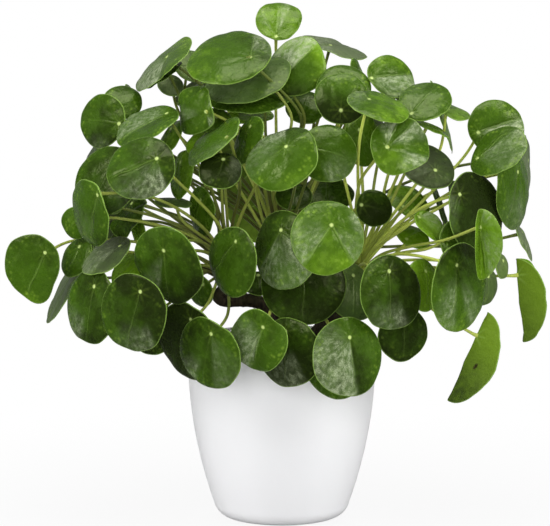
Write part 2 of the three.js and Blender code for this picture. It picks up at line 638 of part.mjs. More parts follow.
// A round rod whose radius changes from ring to ring.
function taperedRod(path, radii, sides) {
  const points = [];
  const triangles = [];
  const rings = radii.length;
  const frames = path.computeFrenetFrames(rings - 1, false);
  radii.forEach((radius, r) => {
    const centre = path.getPointAt(r / (rings - 1));
    for (let k = 0; k < sides; k++) {
      const angle = (k / sides) * 2 * Math.PI;
      points.push(centre.clone()
        .addScaledVector(frames.normals[r], radius * Math.cos(angle))
        .addScaledVector(frames.binormals[r], radius * Math.sin(angle)));
    }
  });
  const at = (r, k) => r * sides + (k % sides);
  for (let r = 0; r < rings - 1; r++)
    for (let k = 0; k < sides; k++)
      triangles.push([at(r, k), at(r, k + 1), at(r + 1, k + 1)], [at(r, k), at(r + 1, k + 1), at(r + 1, k)]);
  const [start, end] = [points.length, points.length + 1];
  points.push(path.getPointAt(0), path.getPointAt(1));
  for (let k = 0; k < sides; k++)
    triangles.push([start, at(0, k + 1), at(0, k)], [end, at(rings - 1, k), at(rings - 1, k + 1)]);
  return toSolid(meshFrom(points, triangles));
}

function trunkPath(plant, from, shorten) {
  const { root, knee, joint, tip } = PLANTS[plant];
  const end = vec(...joint);
  const way = vec(...tip).sub(end).normalize();
  end.addScaledVector(way, -shorten);
  const before = end.clone().addScaledVector(way, -9);
  const points = [vec(...root, from), vec(...root, SOIL_TOP + 4), vec(...knee), before, end];
  return new THREE.CatmullRomCurve3(points, false, "centripetal");
}

function trunkSolid(plant, grow = 0) {
  const radii = Array.from({ length: TRUNK_RINGS }, (_, r) =>
    TRUNK_RADIUS + grow - 0.12 * r + (r % 2 ? 0.5 : 0));
  return taperedRod(trunkPath(plant, SOIL_TOP - TRUNK_DEPTH - grow, SEAT_GAP), radii, TRUNK_SIDES);
}

function shootSolid(plant) {
  const { joint, tip } = PLANTS[plant];
  const [from, to] = [vec(...joint), vec(...tip)];
  const path = new THREE.CatmullRomCurve3([from, from.clone().lerp(to, 0.5), to]);
  const radii = [SHOOT_RADIUS, SHOOT_RADIUS, SHOOT_RADIUS - 0.8, SHOOT_TIP_RADIUS, 1];
  return taperedRod(path, radii, STEM_SIDES);
}

// ---- Pot and soil ------------------------------------------------------------------------------

// The pot's outer radius at a height above the corner's arc.
const CORNER_END = vec(
  POT_BASE_RADIUS + POT_CORNER_RADIUS * Math.sin(radians(POT_CORNER_SWEEP)), 0,
  POT_CORNER_RADIUS * (1 - Math.cos(radians(POT_CORNER_SWEEP))),
);
function potRadius(z) {
  const share = (z - CORNER_END.z) / (POT_HEIGHT - CORNER_END.z);
  return CORNER_END.x + (POT_RIM_RADIUS - CORNER_END.x) * share + POT_BULGE * 4 * share * (1 - share);
}

const OUTER_HEIGHTS = [34, 72, 118];
const INNER_HEIGHTS = [125, 70, 25];

function potGeometry() {
  const profile = [
    [0, 0],
    [POT_BASE_RADIUS, 0],
  ];
  for (const sweep of [26, 52, POT_CORNER_SWEEP])
    profile.push([
      POT_BASE_RADIUS + POT_CORNER_RADIUS * Math.sin(radians(sweep)),
      POT_CORNER_RADIUS * (1 - Math.cos(radians(sweep))),
    ]);
  for (const z of OUTER_HEIGHTS) profile.push([potRadius(z), z]);
  profile.push([POT_RIM_RADIUS, POT_HEIGHT - 1]);
  profile.push([POT_RIM_RADIUS - 0.8, POT_HEIGHT]);
  profile.push([POT_RIM_RADIUS - POT_WALL + 0.8, POT_HEIGHT]);
  profile.push([POT_RIM_RADIUS - POT_WALL, POT_HEIGHT - 1]);
  for (const z of INNER_HEIGHTS) profile.push([potRadius(z) - POT_WALL, z]);
  profile.push([POT_BASE_RADIUS, POT_FLOOR], [0, POT_FLOOR]);
  const lathe = new THREE.LatheGeometry(profile.map(([r, z]) => new THREE.Vector2(r, z)), POT_SIDES);
  return lathe.rotateX(Math.PI / 2);
}

// The crumbly top of the soil.
function soilHeight(x, y) {
  return SOIL_TOP
    + SOIL_LUMP * Math.sin(0.19 * x + 1.3) * Math.cos(0.23 * y)
    + 0.6 * SOIL_LUMP * Math.sin(0.41 * x - 0.37 * y);
}

function soilSolid() {
  const points = [];
  const triangles = [];
  const ring = (radius, height) => {
    const start = points.length;
    for (let k = 0; k < SOIL_SIDES; k++) {
      const angle = (k / SOIL_SIDES) * 2 * Math.PI;
      const [x, y] = [radius * Math.cos(angle), radius * Math.sin(angle)];
      points.push(vec(x, y, height ?? soilHeight(x, y)));
    }
    return start;
  };
  // The inside of the pot's many-sided wall lies a little within its circle.
  const flat = Math.cos(Math.PI / POT_SIDES);
  const inner = (z) => (potRadius(z) - POT_WALL) * flat - SEAT_GAP - 0.6;
  points.push(vec(0, 0, POT_FLOOR + SEAT_GAP), vec(0, 0, soilHeight(0, 0)));
  const starts = [ring(POT_BASE_RADIUS * flat - 1, POT_FLOOR + SEAT_GAP)];
  for (const z of [25, 70, 125]) starts.push(ring(inner(z) - 0.4, z));
  for (let r = SOIL_RINGS; r > 0; r--) starts.push(ring((inner(SOIL_TOP) - 0.4) * (r / SOIL_RINGS)));
  const next = (start, k) => start + ((k + 1) % SOIL_SIDES);
  for (let s = 0; s < starts.length - 1; s++)
    for (let k = 0; k < SOIL_SIDES; k++) {
      const [a, b] = [starts[s], starts[s + 1]];
      triangles.push([a + k, next(a, k), next(b, k)], [a + k, next(b, k), b + k]);
    }
  for (let k = 0; k < SOIL_SIDES; k++) {
    triangles.push([0, next(starts[0], k), starts[0] + k]);
    triangles.push([1, starts.at(-1) + k, next(starts.at(-1), k)]);
  }
  const body = toSolid(meshFrom(points, triangles));
  return Object.keys(PLANTS).reduce((soil, plant) => soil.subtract(trunkSolid(plant, SEAT_GAP)), body);
}

// ---- Assembly ----------------------------------------------------------------------------------

const WHITE = { color: 0xededed, roughness: 0.45, metalness: 0 };
const SOIL = { color: 0x2e2018, roughness: 0.95, metalness: 0 };
const BARK = { color: 0x4b3423, roughness: 0.85, metalness: 0 };
const LEAF = { color: 0x3f7a1e, roughness: 0.4, metalness: 0 };

const plantInPot = new THREE.Group();

function addPiece(name, geometry, finish) {
  const mesh = new THREE.Mesh(geometry, new THREE.MeshStandardMaterial(finish));
  mesh.name = name;
  plantInPot.add(mesh);
}

const LAID = layOut();
const { leaves, routes } = LAID;

addPiece("pot", potGeometry(), WHITE);
addPiece("soil", toGeometry(soilSolid()), SOIL);
for (const plant of Object.keys(PLANTS)) {
  const solids = [shootSolid(plant)];
  leaves.forEach((leaf, i) => {
    if (leaf.plant !== plant) return;
    solids.push(toSolid(leafGeometry(leaf, routes[i])));
  });
  addPiece(`trunk_${plant}`, toGeometry(trunkSolid(plant)), BARK);
  addPiece(`crown_${plant}`, toGeometry(unite(solids)), LEAF);
}

export default plantInPot;
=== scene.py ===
# %% [markdown]
# # A potted Chinese money plant
# Round shiny leaves, each held at its middle by a long stalk, over a plain white pot. The CAD
# frame holds the real sizes. This lesson dresses it: every piece below takes its place from the
# frame, is made as a plain closed mesh, and gets a material made of nodes.

# %% Load the frame
import math
import bmesh
import bpy
import numpy as np
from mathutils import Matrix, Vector


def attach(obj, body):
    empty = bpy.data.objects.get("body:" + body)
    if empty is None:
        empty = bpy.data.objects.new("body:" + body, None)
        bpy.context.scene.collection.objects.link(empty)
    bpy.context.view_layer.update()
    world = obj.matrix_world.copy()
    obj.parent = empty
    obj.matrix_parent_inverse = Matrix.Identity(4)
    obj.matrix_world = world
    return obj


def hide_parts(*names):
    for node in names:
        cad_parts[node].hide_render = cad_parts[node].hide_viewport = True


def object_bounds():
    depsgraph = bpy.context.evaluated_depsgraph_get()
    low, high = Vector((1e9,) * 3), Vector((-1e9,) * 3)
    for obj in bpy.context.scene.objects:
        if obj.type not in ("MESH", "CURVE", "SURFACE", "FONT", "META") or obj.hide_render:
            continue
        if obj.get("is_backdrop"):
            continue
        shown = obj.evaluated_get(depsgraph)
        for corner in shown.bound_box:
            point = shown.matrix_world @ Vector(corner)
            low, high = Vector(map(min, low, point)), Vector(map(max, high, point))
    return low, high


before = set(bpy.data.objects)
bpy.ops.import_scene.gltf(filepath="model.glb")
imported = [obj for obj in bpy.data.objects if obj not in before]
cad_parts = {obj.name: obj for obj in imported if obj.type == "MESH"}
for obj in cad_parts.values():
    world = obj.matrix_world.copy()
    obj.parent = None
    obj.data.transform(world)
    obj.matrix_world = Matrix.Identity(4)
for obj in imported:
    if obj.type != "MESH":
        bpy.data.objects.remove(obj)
cad_low, cad_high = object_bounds()
MM = 0.001  # this script's own lengths are in millimetres, and Blender's in metres
print("CAD box in mm:", [round(x / MM) for x in (*cad_low, *cad_high)])

# %% [markdown]
# ## Camera
# The photograph was taken from a little above the pot's rim, from far away, so that the pot's sides
# hardly run together. A far camera needs a long lens: its length follows from how much of the
# object fills the picture's width, which here is 550 mm at 2.5 m.

# %% Place the camera
CAMERA_DISTANCE = 2.5
CAMERA_TARGET = Vector((-0.00675, 0, 0.2558))
CAMERA_PITCH = math.radians(6)
SENSOR_WIDTH = 36.0
VIEW_WIDTH = 0.550

camera_data = bpy.data.cameras.new("camera")
camera = bpy.data.objects.new("camera", camera_data)
bpy.context.scene.collection.objects.link(camera)
to_camera = Vector((0, -math.cos(CAMERA_PITCH), math.sin(CAMERA_PITCH)))
camera.location = CAMERA_TARGET + to_camera * CAMERA_DISTANCE
camera.rotation_euler = (-to_camera).to_track_quat("-Z", "Y").to_euler()
camera_data.sensor_width = SENSOR_WIDTH
camera_data.lens = SENSOR_WIDTH * CAMERA_DISTANCE / VIEW_WIDTH
bpy.context.scene.camera = camera
print("lens:", round(camera_data.lens, 1), "mm")

# %% [markdown]
# ## Helpers for nodes
# A material is a small graph: textures and sums on the left, one shader on the right. Written out
# in full that takes many lines, so short helpers add a node, do a sum, mix two colours and so on.


# %% Node helpers
def add_node(tree, kind, inputs=None, **settings):
    """A new node with its settings made, and its inputs given a value or a link."""
    node = tree.nodes.new(kind)
    for key, value in settings.items():
        setattr(node, key, value)
    for key, value in (inputs or {}).items():
        if isinstance(value, bpy.types.NodeSocket):
            tree.links.new(value, node.inputs[key])
        else:
            node.inputs[key].default_value = value
    return node


def calc(tree, operation, *values):
    """The result of one sum."""
    return add_node(tree, "ShaderNodeMath", dict(enumerate(values)), operation=operation).outputs[0]


def times(tree, value, *others):
    """The product of two or more values."""
    for other in others:
        value = calc(tree, "MULTIPLY", value, other)
    return value


def plus(tree, value, *others):
    """The sum of two or more values."""
    for other in others:
        value = calc(tree, "ADD", value, other)
    return value


def sway(tree, cloudy, amount):
    """Noise made to sway about nothing, by half the amount either way."""
    return times(tree, calc(tree, "SUBTRACT", cloudy, 0.5), amount)


def between(tree, value, low, high, from_value=0.0, to_value=1.0):
    """A smooth step: from_value below low, to_value above high."""
    node = add_node(tree, "ShaderNodeMapRange", {"Value": value, "From Min": low, "From Max": high,
                    "To Min": from_value, "To Max": to_value}, interpolation_type="SMOOTHSTEP")
    return node.outputs["Result"]


def mix_colours(tree, factor, first, second):
    """first where factor is 0, second where it is 1."""
    node = add_node(tree, "ShaderNodeMix", data_type="RGBA")
    for index, value in ((0, factor), (6, first), (7, second)):
        if isinstance(value, bpy.types.NodeSocket):
            tree.links.new(value, node.inputs[index])
        else:
            node.inputs[index].default_value = value if index == 0 else (*value, 1)
    return node.outputs[2]


def noise(tree, vector, scale, detail=3.0, roughness=0.5):
    """Cloudy noise from 0 to 1."""
    node = add_node(tree, "ShaderNodeTexNoise", {"Vector": vector, "Scale": scale,
                    "Detail": detail, "Roughness": roughness})
    return node.outputs[0]


def split(tree, vector):
    """The three parts of a vector."""
    return add_node(tree, "ShaderNodeSeparateXYZ", {0: vector}).outputs


def carried(tree, name, kind="Fac"):
    """The number, or with kind Vector the three numbers, that each point carries by that name."""
    return add_node(tree, "ShaderNodeAttribute", attribute_name=name).outputs[kind]


def new_material(name, roughness):
    """A material with its tree and its shader. The roughness holds where no node gives one."""
    material = bpy.data.materials.new(name)
    material.use_nodes = True
    shader = material.node_tree.nodes["Principled BSDF"]
    shader.inputs["Roughness"].default_value = roughness
    return material, material.node_tree, shader


def link_shader(tree, shader, colour, roughness, height, bump_depth):
    """Joins the graph's results to the shader, with the height as a bump of a depth in metres."""
    bump = add_node(tree, "ShaderNodeBump", {"Height": height, "Distance": bump_depth, "Strength": 1.0})
    for value, name in ((colour, "Base Color"), (roughness, "Roughness"), (bump.outputs[0], "Normal")):
        tree.links.new(value, shader.inputs[name])


def object_place(tree):
    """Object coordinates, in metres."""
    return add_node(tree, "ShaderNodeTexCoord").outputs["Object"]


# %% [markdown]
# ## Stage and light
# The photograph is a studio picture on white: soft lamps above and beside the camera, a pale
# ceiling and a dark room round the camera, which is why some blades shine pale and their
# neighbours stay deep green. Three softboxes that the gloss mirrors do the same here, and four
# wide fill lamps that it doesn't mirror stand in for the light of the white walls. The world is
# white where the camera looks straight at it, a dim dome for the light that surfaces gather, and
# for the gloss it is dark round the camera and pale above and behind.

# %% Floor
FLOOR_RADIUS = 14.0
FLOOR_COLOUR = (0.55, 0.55, 0.55)
FLOOR_CLOUDS = (0.58, 0.58, 0.58)  # the paper is faintly uneven
FLOOR_FADE = (0.05, 0.7)  # metres from the pot over which the floor turns as white as the world
FLOOR_GLOW = 0.9  # how far it has turned white at the pot itself

floor_mesh = bpy.data.meshes.new("floor")
shape = bmesh.new()
bmesh.ops.create_circle(shape, cap_ends=True, segments=96, radius=FLOOR_RADIUS)
shape.to_mesh(floor_mesh)
shape.free()
floor = bpy.data.objects.new("floor", floor_mesh)
bpy.context.scene.collection.objects.link(floor)
floor_material, tree, shader = new_material("floor_paper", 0.9)
place = object_place(tree)
paper = mix_colours(tree, noise(tree, place, 2.0), FLOOR_COLOUR, FLOOR_CLOUDS)
tree.links.new(paper, shader.inputs["Base Color"])
from_pot = add_node(tree, "ShaderNodeVectorMath", {0: place}, operation="LENGTH").outputs["Value"]
seen_far = times(tree, between(tree, from_pot, *FLOOR_FADE, FLOOR_GLOW, 1.0),
                 add_node(tree, "ShaderNodeLightPath").outputs["Is Camera Ray"])
plain = add_node(tree, "ShaderNodeEmission", {"Color": (1, 1, 1, 1), "Strength": 1.0})
faded = add_node(tree, "ShaderNodeMixShader",
                 {0: seen_far, 1: shader.outputs[0], 2: plain.outputs[0]})
tree.links.new(faded.outputs[0], tree.nodes["Material Output"].inputs["Surface"])
floor_mesh.materials.append(floor_material)
floor.visible_glossy = False
floor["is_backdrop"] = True

# %% World
WORLD_SEEN = 1.0
DOME_LIGHT = 0.24  # what the dome gives to every surface
GLOSS_DARK = 0.05  # what gloss finds in the dark room round the camera
GLOSS_PALE = 0.22  # and in the white ceiling, and the white wall behind the plant
WALL_RISE = (0.2, 0.8)  # over which part of the way to that wall the room turns pale
CEILING_RISE = (0.4, 0.9)  # and over which part of the way straight up

world = bpy.data.worlds.new("studio")
bpy.context.scene.world = world
world.use_nodes = True
tree = world.node_tree
tree.nodes.clear()
rays = add_node(tree, "ShaderNodeLightPath").outputs
heading = split(tree, add_node(tree, "ShaderNodeTexCoord").outputs["Generated"])
pale = calc(tree, "MAXIMUM", between(tree, heading["Y"], *WALL_RISE),
            between(tree, heading["Z"], *CEILING_RISE))
mirrored = calc(tree, "MULTIPLY_ADD", pale, GLOSS_PALE - GLOSS_DARK, GLOSS_DARK)
strength = DOME_LIGHT
for ray, light in (("Is Glossy Ray", mirrored), ("Is Camera Ray", WORLD_SEEN)):
    strength = add_node(tree, "ShaderNodeMix", {0: rays[ray], 2: strength, 3: light}).outputs[0]
room = add_node(tree, "ShaderNodeBackground", {"Color": (1, 1, 1, 1), "Strength": strength})
add_node(tree, "ShaderNodeOutputWorld", {"Surface": room.outputs[0]})
bpy.context.scene.view_settings.view_transform = "Standard"

# %% Lamps
# Place in metres, width and height in metres, power in watts, and whether gloss mirrors it.
LAMPS = {
    "overhead": ((0.0, -0.3, 1.8), (1.2, 0.8), 12.5, True),
    "left": ((-1.38, -1.16, 1.54), (0.8, 0.8), 12.5, True),
    "right": ((1.38, -1.16, 1.54), (0.8, 0.8), 11.5, True),
    "front_fill": ((0.0, -3.0, 0.7), (2.8, 1.6), 50, False),
    "left_fill": ((-2.6, -0.5, 0.5), (1.2, 1.6), 36, False),
    "right_fill": ((2.6, -0.5, 0.5), (1.2, 1.6), 36, False),
    "back_fill": ((0.0, 3.0, 0.8), (2.8, 1.6), 56, False),
}
LAMP_AIM = Vector((0, 0, 0.28))

for name, (place, size, power, mirrored) in LAMPS.items():
    lamp_data = bpy.data.lights.new(name, "AREA")
    lamp_data.shape = "RECTANGLE"
    lamp_data.size, lamp_data.size_y = size
    lamp_data.energy = power
    lamp = bpy.data.objects.new(name, lamp_data)
    lamp.location = place
    lamp.visible_glossy = mirrored
    lamp.visible_camera = False
    lamp.rotation_euler = (LAMP_AIM - Vector(place)).to_track_quat("-Z", "Y").to_euler()
    bpy.context.scene.collection.objects.link(lamp)
print("lamps:", len(LAMPS))

# %% [markdown]
# ## Meshes and pieces
# A mesh needs only points and faces. Each piece is then linked to the scene, hung on the CAD body
# it rides on and given its material, and the CAD nodes that it stands for are hidden.


# %% Piece helpers
def finish_piece(piece, material, slot, *nodes):
    """Gives a piece its material, hangs it on the root body, and hides the CAD nodes that it stands for."""
    if material is not None:
        piece.data.materials.clear()
        piece.data.materials.append(material)
    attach(piece, "root")
    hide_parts(*nodes)
    print(piece.name, len(piece.data.vertices), "points")
    return piece


def mesh_object(name, points, faces):
    """An object from points in millimetres and faces, with smooth shading."""
    mesh = bpy.data.meshes.new(name)
    mesh.from_pydata((np.asarray(points) * MM).tolist(), [], faces)
    mesh.shade_smooth()
    mesh.validate()
    piece = bpy.data.objects.new(name, mesh)
    bpy.context.scene.collection.objects.link(piece)
    return piece


def closed_faces(rings, sides):
    """Quads between rings of points, and a fan from a point over either end of them.

    The first ring's end point comes after the rings, and then the last ring's. Where rings rise,
    the faces point outwards.
    """
    around = [(k, (k + 1) % sides) for k in range(sides)]
    first_end, last_end, last_ring = rings * sides, rings * sides + 1, (rings - 1) * sides
    quads = [(r * sides + k, r * sides + after, (r + 1) * sides + after, (r + 1) * sides + k)
             for r in range(rings - 1) for k, after in around]
    return (quads + [(first_end, after, k) for k, after in around]
            + [(last_end, last_ring + k, last_ring + after) for k, after in around])


def turned_solid(name, profile, sides):
    """A closed solid of revolution. The profile runs from the axis below, out and up, to the axis."""
    profile = np.array(profile, float)
    angle = np.arange(sides) / sides * 2 * math.pi
    inner = profile[1:-1]
    rings = np.stack([inner[:, :1] * np.cos(angle), inner[:, :1] * np.sin(angle),
                      np.repeat(inner[:, 1:], sides, axis=1)], axis=2)
    points = [*rings.reshape(-1, 3), (0, 0, profile[0, 1]), (0, 0, profile[-1, 1])]
    return mesh_object(name, points, closed_faces(len(inner), sides))


# %% [markdown]
# ## The pot
# A moulded plastic cover pot: a flat foot, a round bottom corner, sides that swell a little, and a
# thin plain rim. Spinning a profile suits anything that was made on a round mould. The profile is
# worked out from the same few sizes as the CAD solid, with an arc for the corner and another for
# the lip, and far more steps.

# %% The pot's profile
POT_HEIGHT = 181.0
POT_RIM_RADIUS = 93.6
POT_BASE_RADIUS = 50.0  # where the bottom corner's arc begins
POT_CORNER_RADIUS = 18.7
POT_CORNER_SWEEP = math.radians(78)
POT_BULGE = 8.2
POT_WALL = 3.0
POT_FLOOR = 4.0
LIP_RADIUS = 1.3
FOOT_SHARE = 0.6  # where the foot has a ring of points more, as a share of its radius
INSIDE_END = 25.0  # how far down the inner wall is drawn before it runs to the floor
CORNER_STEPS, SIDE_STEPS, LIP_STEPS, INSIDE_STEPS = 14, 30, 6, 20
POT_SIDES = 144


def on_corner(turn):
    """A place on the bottom corner's arc, once it has turned by an angle."""
    return (POT_BASE_RADIUS + POT_CORNER_RADIUS * math.sin(turn),
            POT_CORNER_RADIUS * (1 - math.cos(turn)))


def on_lip(turn, wall_radius, way):
    """A place on one of the lip's two arcs, which start on either side of the wall."""
    return (wall_radius + way * LIP_RADIUS * (1 - math.cos(turn)),
            POT_HEIGHT - LIP_RADIUS * (1 - math.sin(turn)))


corner_end = on_corner(POT_CORNER_SWEEP)


def pot_radius(z):
    """The outer radius at a height above the corner's arc."""
    share = (z - corner_end[1]) / (POT_HEIGHT - corner_end[1])
    return corner_end[0] + (POT_RIM_RADIUS - corner_end[0]) * share + POT_BULGE * 4 * share * (1 - share)


def pot_profile():
    """From the foot's middle out and up to the rim, and down the inside to the floor's middle."""
    lip_start = POT_HEIGHT - LIP_RADIUS
    quarter = np.linspace(0, math.pi / 2, LIP_STEPS)
    return [
        (0, 0), (POT_BASE_RADIUS * FOOT_SHARE, 0),
        *(on_corner(turn) for turn in np.linspace(0, POT_CORNER_SWEEP, CORNER_STEPS)),
        *((pot_radius(z), z) for z in np.linspace(corner_end[1] + 5, lip_start - 1, SIDE_STEPS)),
        *(on_lip(turn, POT_RIM_RADIUS, -1) for turn in quarter),
        *(on_lip(turn, POT_RIM_RADIUS - POT_WALL, 1) for turn in quarter[::-1]),
        *((pot_radius(z) - POT_WALL, z) for z in np.linspace(lip_start - 2, INSIDE_END, INSIDE_STEPS)),
        (POT_BASE_RADIUS, POT_FLOOR), (0, POT_FLOOR),
    ]


# %% [markdown]
# White plastic isn't quite white: it takes a soft grey from the room, has a faint haze of fine
# grain from the mould, and scatters gloss widely. A little unevenness in the gloss is what tells
# it from paper.

# %% Pot plastic
POT_WHITE = (0.80, 0.80, 0.81)
POT_SHADE = (0.77, 0.77, 0.785)

pot_plastic, tree, shader = new_material("pot_plastic", 0.42)
place = object_place(tree)
haze = noise(tree, place, 14.0, 2.0)
grain = noise(tree, place, 900.0, 2.0)
colour = mix_colours(tree, haze, POT_WHITE, POT_SHADE)
gloss = calc(tree, "MULTIPLY_ADD", grain, 0.10, 0.37)
link_shader(tree, shader, colour, gloss, grain, 0.00006)

pot = turned_solid("pot_shell", pot_profile(), POT_SIDES)
finish_piece(pot, pot_plastic, "pot_plastic", "pot")

# %% [markdown]
# ## Geometry Nodes helpers
# A Geometry Nodes tree is a recipe that Blender follows anew each time. The recipe gets named
# inputs for its sizes, so that one tree serves several pieces. Once it has made its mesh, the mesh
# is kept and the recipe taken off, because a finished piece has to be a plain mesh.


# %% Geometry Nodes helpers
def new_recipe(name, inputs):
    """A tree with a geometry input and named inputs, and its group input and output nodes."""
    tree = bpy.data.node_groups.new(name, "GeometryNodeTree")
    tree.interface.new_socket("Geometry", in_out="INPUT", socket_type="NodeSocketGeometry")
    for label, kind in inputs.items():
        tree.interface.new_socket(label, in_out="INPUT", socket_type="NodeSocket" + kind)
    tree.interface.new_socket("Geometry", in_out="OUTPUT", socket_type="NodeSocketGeometry")
    return tree, tree.nodes.new("NodeGroupInput"), tree.nodes.new("NodeGroupOutput")


def follow_recipe(name, source, tree, values):
    """The plain mesh object that the tree makes of source, which is then removed."""
    modifier = source.modifiers.new(tree.name, "NODES")
    modifier.node_group = tree
    for item in tree.interface.items_tree:
        if item.in_out == "INPUT" and item.name in values:
            modifier[item.identifier] = values[item.name]
    depsgraph = bpy.context.evaluated_depsgraph_get()
    mesh = bpy.data.meshes.new_from_object(source.evaluated_get(depsgraph), depsgraph=depsgraph)
    mesh.name = name
    bpy.data.objects.remove(source)
    piece = bpy.data.objects.new(name, mesh)
    bpy.context.scene.collection.objects.link(piece)
    return piece


def end_recipe(tree, geometry, material, last):
    """Real geometry with its material: the two nodes that every tree here ends in."""
    real = add_node(tree, "GeometryNodeRealizeInstances", {"Geometry": geometry})
    painted = add_node(tree, "GeometryNodeSetMaterial", {"Geometry": real.outputs[0], "Material": material})
    tree.links.new(painted.outputs[0], last.inputs[0])


# %% [markdown]
# ## Soil
# Dark peat fills the pot to a little below its rim. Seen close up it is a rolling surface with
# loose crumbs on it. The surface is a grid of rings that follows the same waves as the CAD solid.
# Crumbs would take days to place by hand, so Geometry Nodes scatters a rough pebble over the top
# and turns and sizes each copy by a seeded draw.

# %% Soil surface
SOIL_TOP = 158.0
SOIL_LUMP = 2.2  # height of the waves that the CAD solid has too
SOIL_RIPPLE = 0.5  # height of the small waves that only this mesh has
SOIL_WALL_GAP = 0.5
SOIL_FLOOR_GAP = 0.3
SOIL_WALL_HEIGHTS = (25, 70, 125)
SOIL_SIDES = 72
SOIL_RINGS = 26


def soil_height(x, y):
    """Height of the soil's surface, in the CAD solid's own waves."""
    return (SOIL_TOP + SOIL_LUMP * np.sin(0.19 * x + 1.3) * np.cos(0.23 * y)
            + 0.6 * SOIL_LUMP * np.sin(0.41 * x - 0.37 * y))


def soil_points():
    """Rings from the pot's floor up the wall, and then in over the top."""
    angle = np.arange(SOIL_SIDES) / SOIL_SIDES * 2 * math.pi
    bottom = (POT_BASE_RADIUS - 1, POT_FLOOR + SOIL_FLOOR_GAP)
    wall = [(pot_radius(z) - POT_WALL - SOIL_WALL_GAP, z) for z in SOIL_WALL_HEIGHTS]
    rings = [(radius, np.full(SOIL_SIDES, height)) for radius, height in (bottom, *wall)]
    edge = pot_radius(SOIL_TOP) - POT_WALL - SOIL_WALL_GAP
    for share in np.linspace(1, 0.03, SOIL_RINGS):
        x, y = edge * share * np.cos(angle), edge * share * np.sin(angle)
        fine = SOIL_RIPPLE * np.sin(1.1 * x + 0.7 * y) * np.sin(0.9 * y - 0.5 * x + 1)
        rings.append((edge * share, soil_height(x, y) + fine))
    return np.concatenate([np.stack([radius * np.cos(angle), radius * np.sin(angle), height], axis=1)
                           for radius, height in rings]), len(rings)


ring_points, soil_rings = soil_points()
ends = [[0, 0, POT_FLOOR + SOIL_FLOOR_GAP], [0, 0, float(soil_height(0, 0))]]
soil = mesh_object("soil_bed", np.vstack([ring_points, ends]), closed_faces(soil_rings, SOIL_SIDES))

# %% Peat
PEAT_DARK = (0.010, 0.006, 0.004)
PEAT_BROWN = (0.060, 0.035, 0.020)

peat, tree, shader = new_material("peat", 0.95)
place = object_place(tree)
lumps = noise(tree, place, 260.0, 5.0, 0.65)
damp = noise(tree, place, 30.0, 2.0)
colour = mix_colours(tree, between(tree, lumps, 0.35, 0.7), PEAT_DARK, PEAT_BROWN)
link_shader(tree, shader, colour, between(tree, damp, 0.2, 0.8, 0.8, 0.98), lumps, 0.0012)
finish_piece(soil, peat, "soil", "soil")

# %% Soil crumbs
CRUMB_SIZE = 1.7  # the largest crumb's radius
CRUMB_LEAST = 0.25  # the smallest crumb, as a share of the largest
CRUMB_SHAPE = (0.75, 0.6)  # a crumb's width and height, as shares of its length
CRUMB_DENSITY = 90000.0  # to the square metre
CRUMB_SEED = 7
LEVEL_ENOUGH = 0.6  # crumbs lie where the surface's normal rises more than this,
CRUMB_DEPTH = 8  # and no deeper than this below the soil's level
FULL_TURN = 6.28

crumb_recipe, first, last = new_recipe("crumbs", {
    "Density": "Float", "Radius": "Float", "Seed": "Int", "Material": "Material"})
tree = crumb_recipe
asked = first.outputs
upward = split(tree, add_node(tree, "GeometryNodeInputNormal").outputs[0])["Z"]
height = split(tree, add_node(tree, "GeometryNodeInputPosition").outputs[0])["Z"]
on_top = times(tree, calc(tree, "GREATER_THAN", upward, LEVEL_ENOUGH),
               calc(tree, "GREATER_THAN", height, (SOIL_TOP - CRUMB_DEPTH) * MM))
spots = add_node(tree, "GeometryNodeDistributePointsOnFaces", {
    "Mesh": asked["Geometry"], "Selection": on_top, "Density": asked["Density"], "Seed": asked["Seed"]})
pebble = add_node(tree, "GeometryNodeMeshIcoSphere", {"Radius": asked["Radius"], "Subdivisions": 1})
size = add_node(tree, "FunctionNodeRandomValue",
                {2: CRUMB_LEAST, 3: 1.0, "Seed": asked["Seed"]}).outputs[1]
spin = add_node(tree, "FunctionNodeRandomValue", {0: (0, 0, 0), 1: (FULL_TURN,) * 3},
                data_type="FLOAT_VECTOR")
shape = add_node(tree, "ShaderNodeCombineXYZ", {
    "X": size, "Y": times(tree, size, CRUMB_SHAPE[0]), "Z": times(tree, size, CRUMB_SHAPE[1])})
crumbs = add_node(tree, "GeometryNodeInstanceOnPoints", {
    "Points": spots.outputs[0], "Instance": pebble.outputs[0], "Rotation": spin.outputs[0],
    "Scale": shape.outputs[0]})
end_recipe(tree, crumbs.outputs[0], asked["Material"], last)

crumb_source = bpy.data.objects.new("crumb_source", soil.data.copy())
bpy.context.scene.collection.objects.link(crumb_source)
crumb_pieces = follow_recipe("soil_crumbs", crumb_source, crumb_recipe, {
    "Density": CRUMB_DENSITY, "Radius": CRUMB_SIZE * MM, "Seed": CRUMB_SEED, "Material": peat})
finish_piece(crumb_pieces, None, "soil", "soil")

# %% [markdown]
# ## Where every leaf is
# A leaf is a flat disc in space: a middle, the way its face turns, the way its tip points and two
# radii. Blades could be placed by hand in the viewport, but a hundred of them would never agree
# with a photograph. Here each is written as the ellipse that the eye sees, in millimetres in the
# plane of the pot's axis, and a few lines of vector algebra turn the ellipse back into a disc.
# A short ellipse is a disc turned far away, and a negative short axis shows its underside.

# %% The eye's own axes
EYE_DISTANCE = CAMERA_DISTANCE / MM
AXIS_POINT = np.array([0, 0, 250.0])  # a place on the pot's axis, and where it is seen:
AXIS_ACROSS = 281.75
AXIS_DOWN = 268.8
RIGHT = np.array([1.0, 0, 0])
UP = np.array([0, math.sin(CAMERA_PITCH), math.cos(CAMERA_PITCH)])
TO_EYE = np.array([0, -math.cos(CAMERA_PITCH), math.sin(CAMERA_PITCH)])


def seen(across, down, near):
    """The point seen at a place in the view, moved near towards the eye."""
    scale = (EYE_DISTANCE - near) / EYE_DISTANCE
    return (AXIS_POINT + RIGHT * (across - AXIS_ACROSS) * scale
            + UP * (AXIS_DOWN - down) * scale + TO_EYE * near)


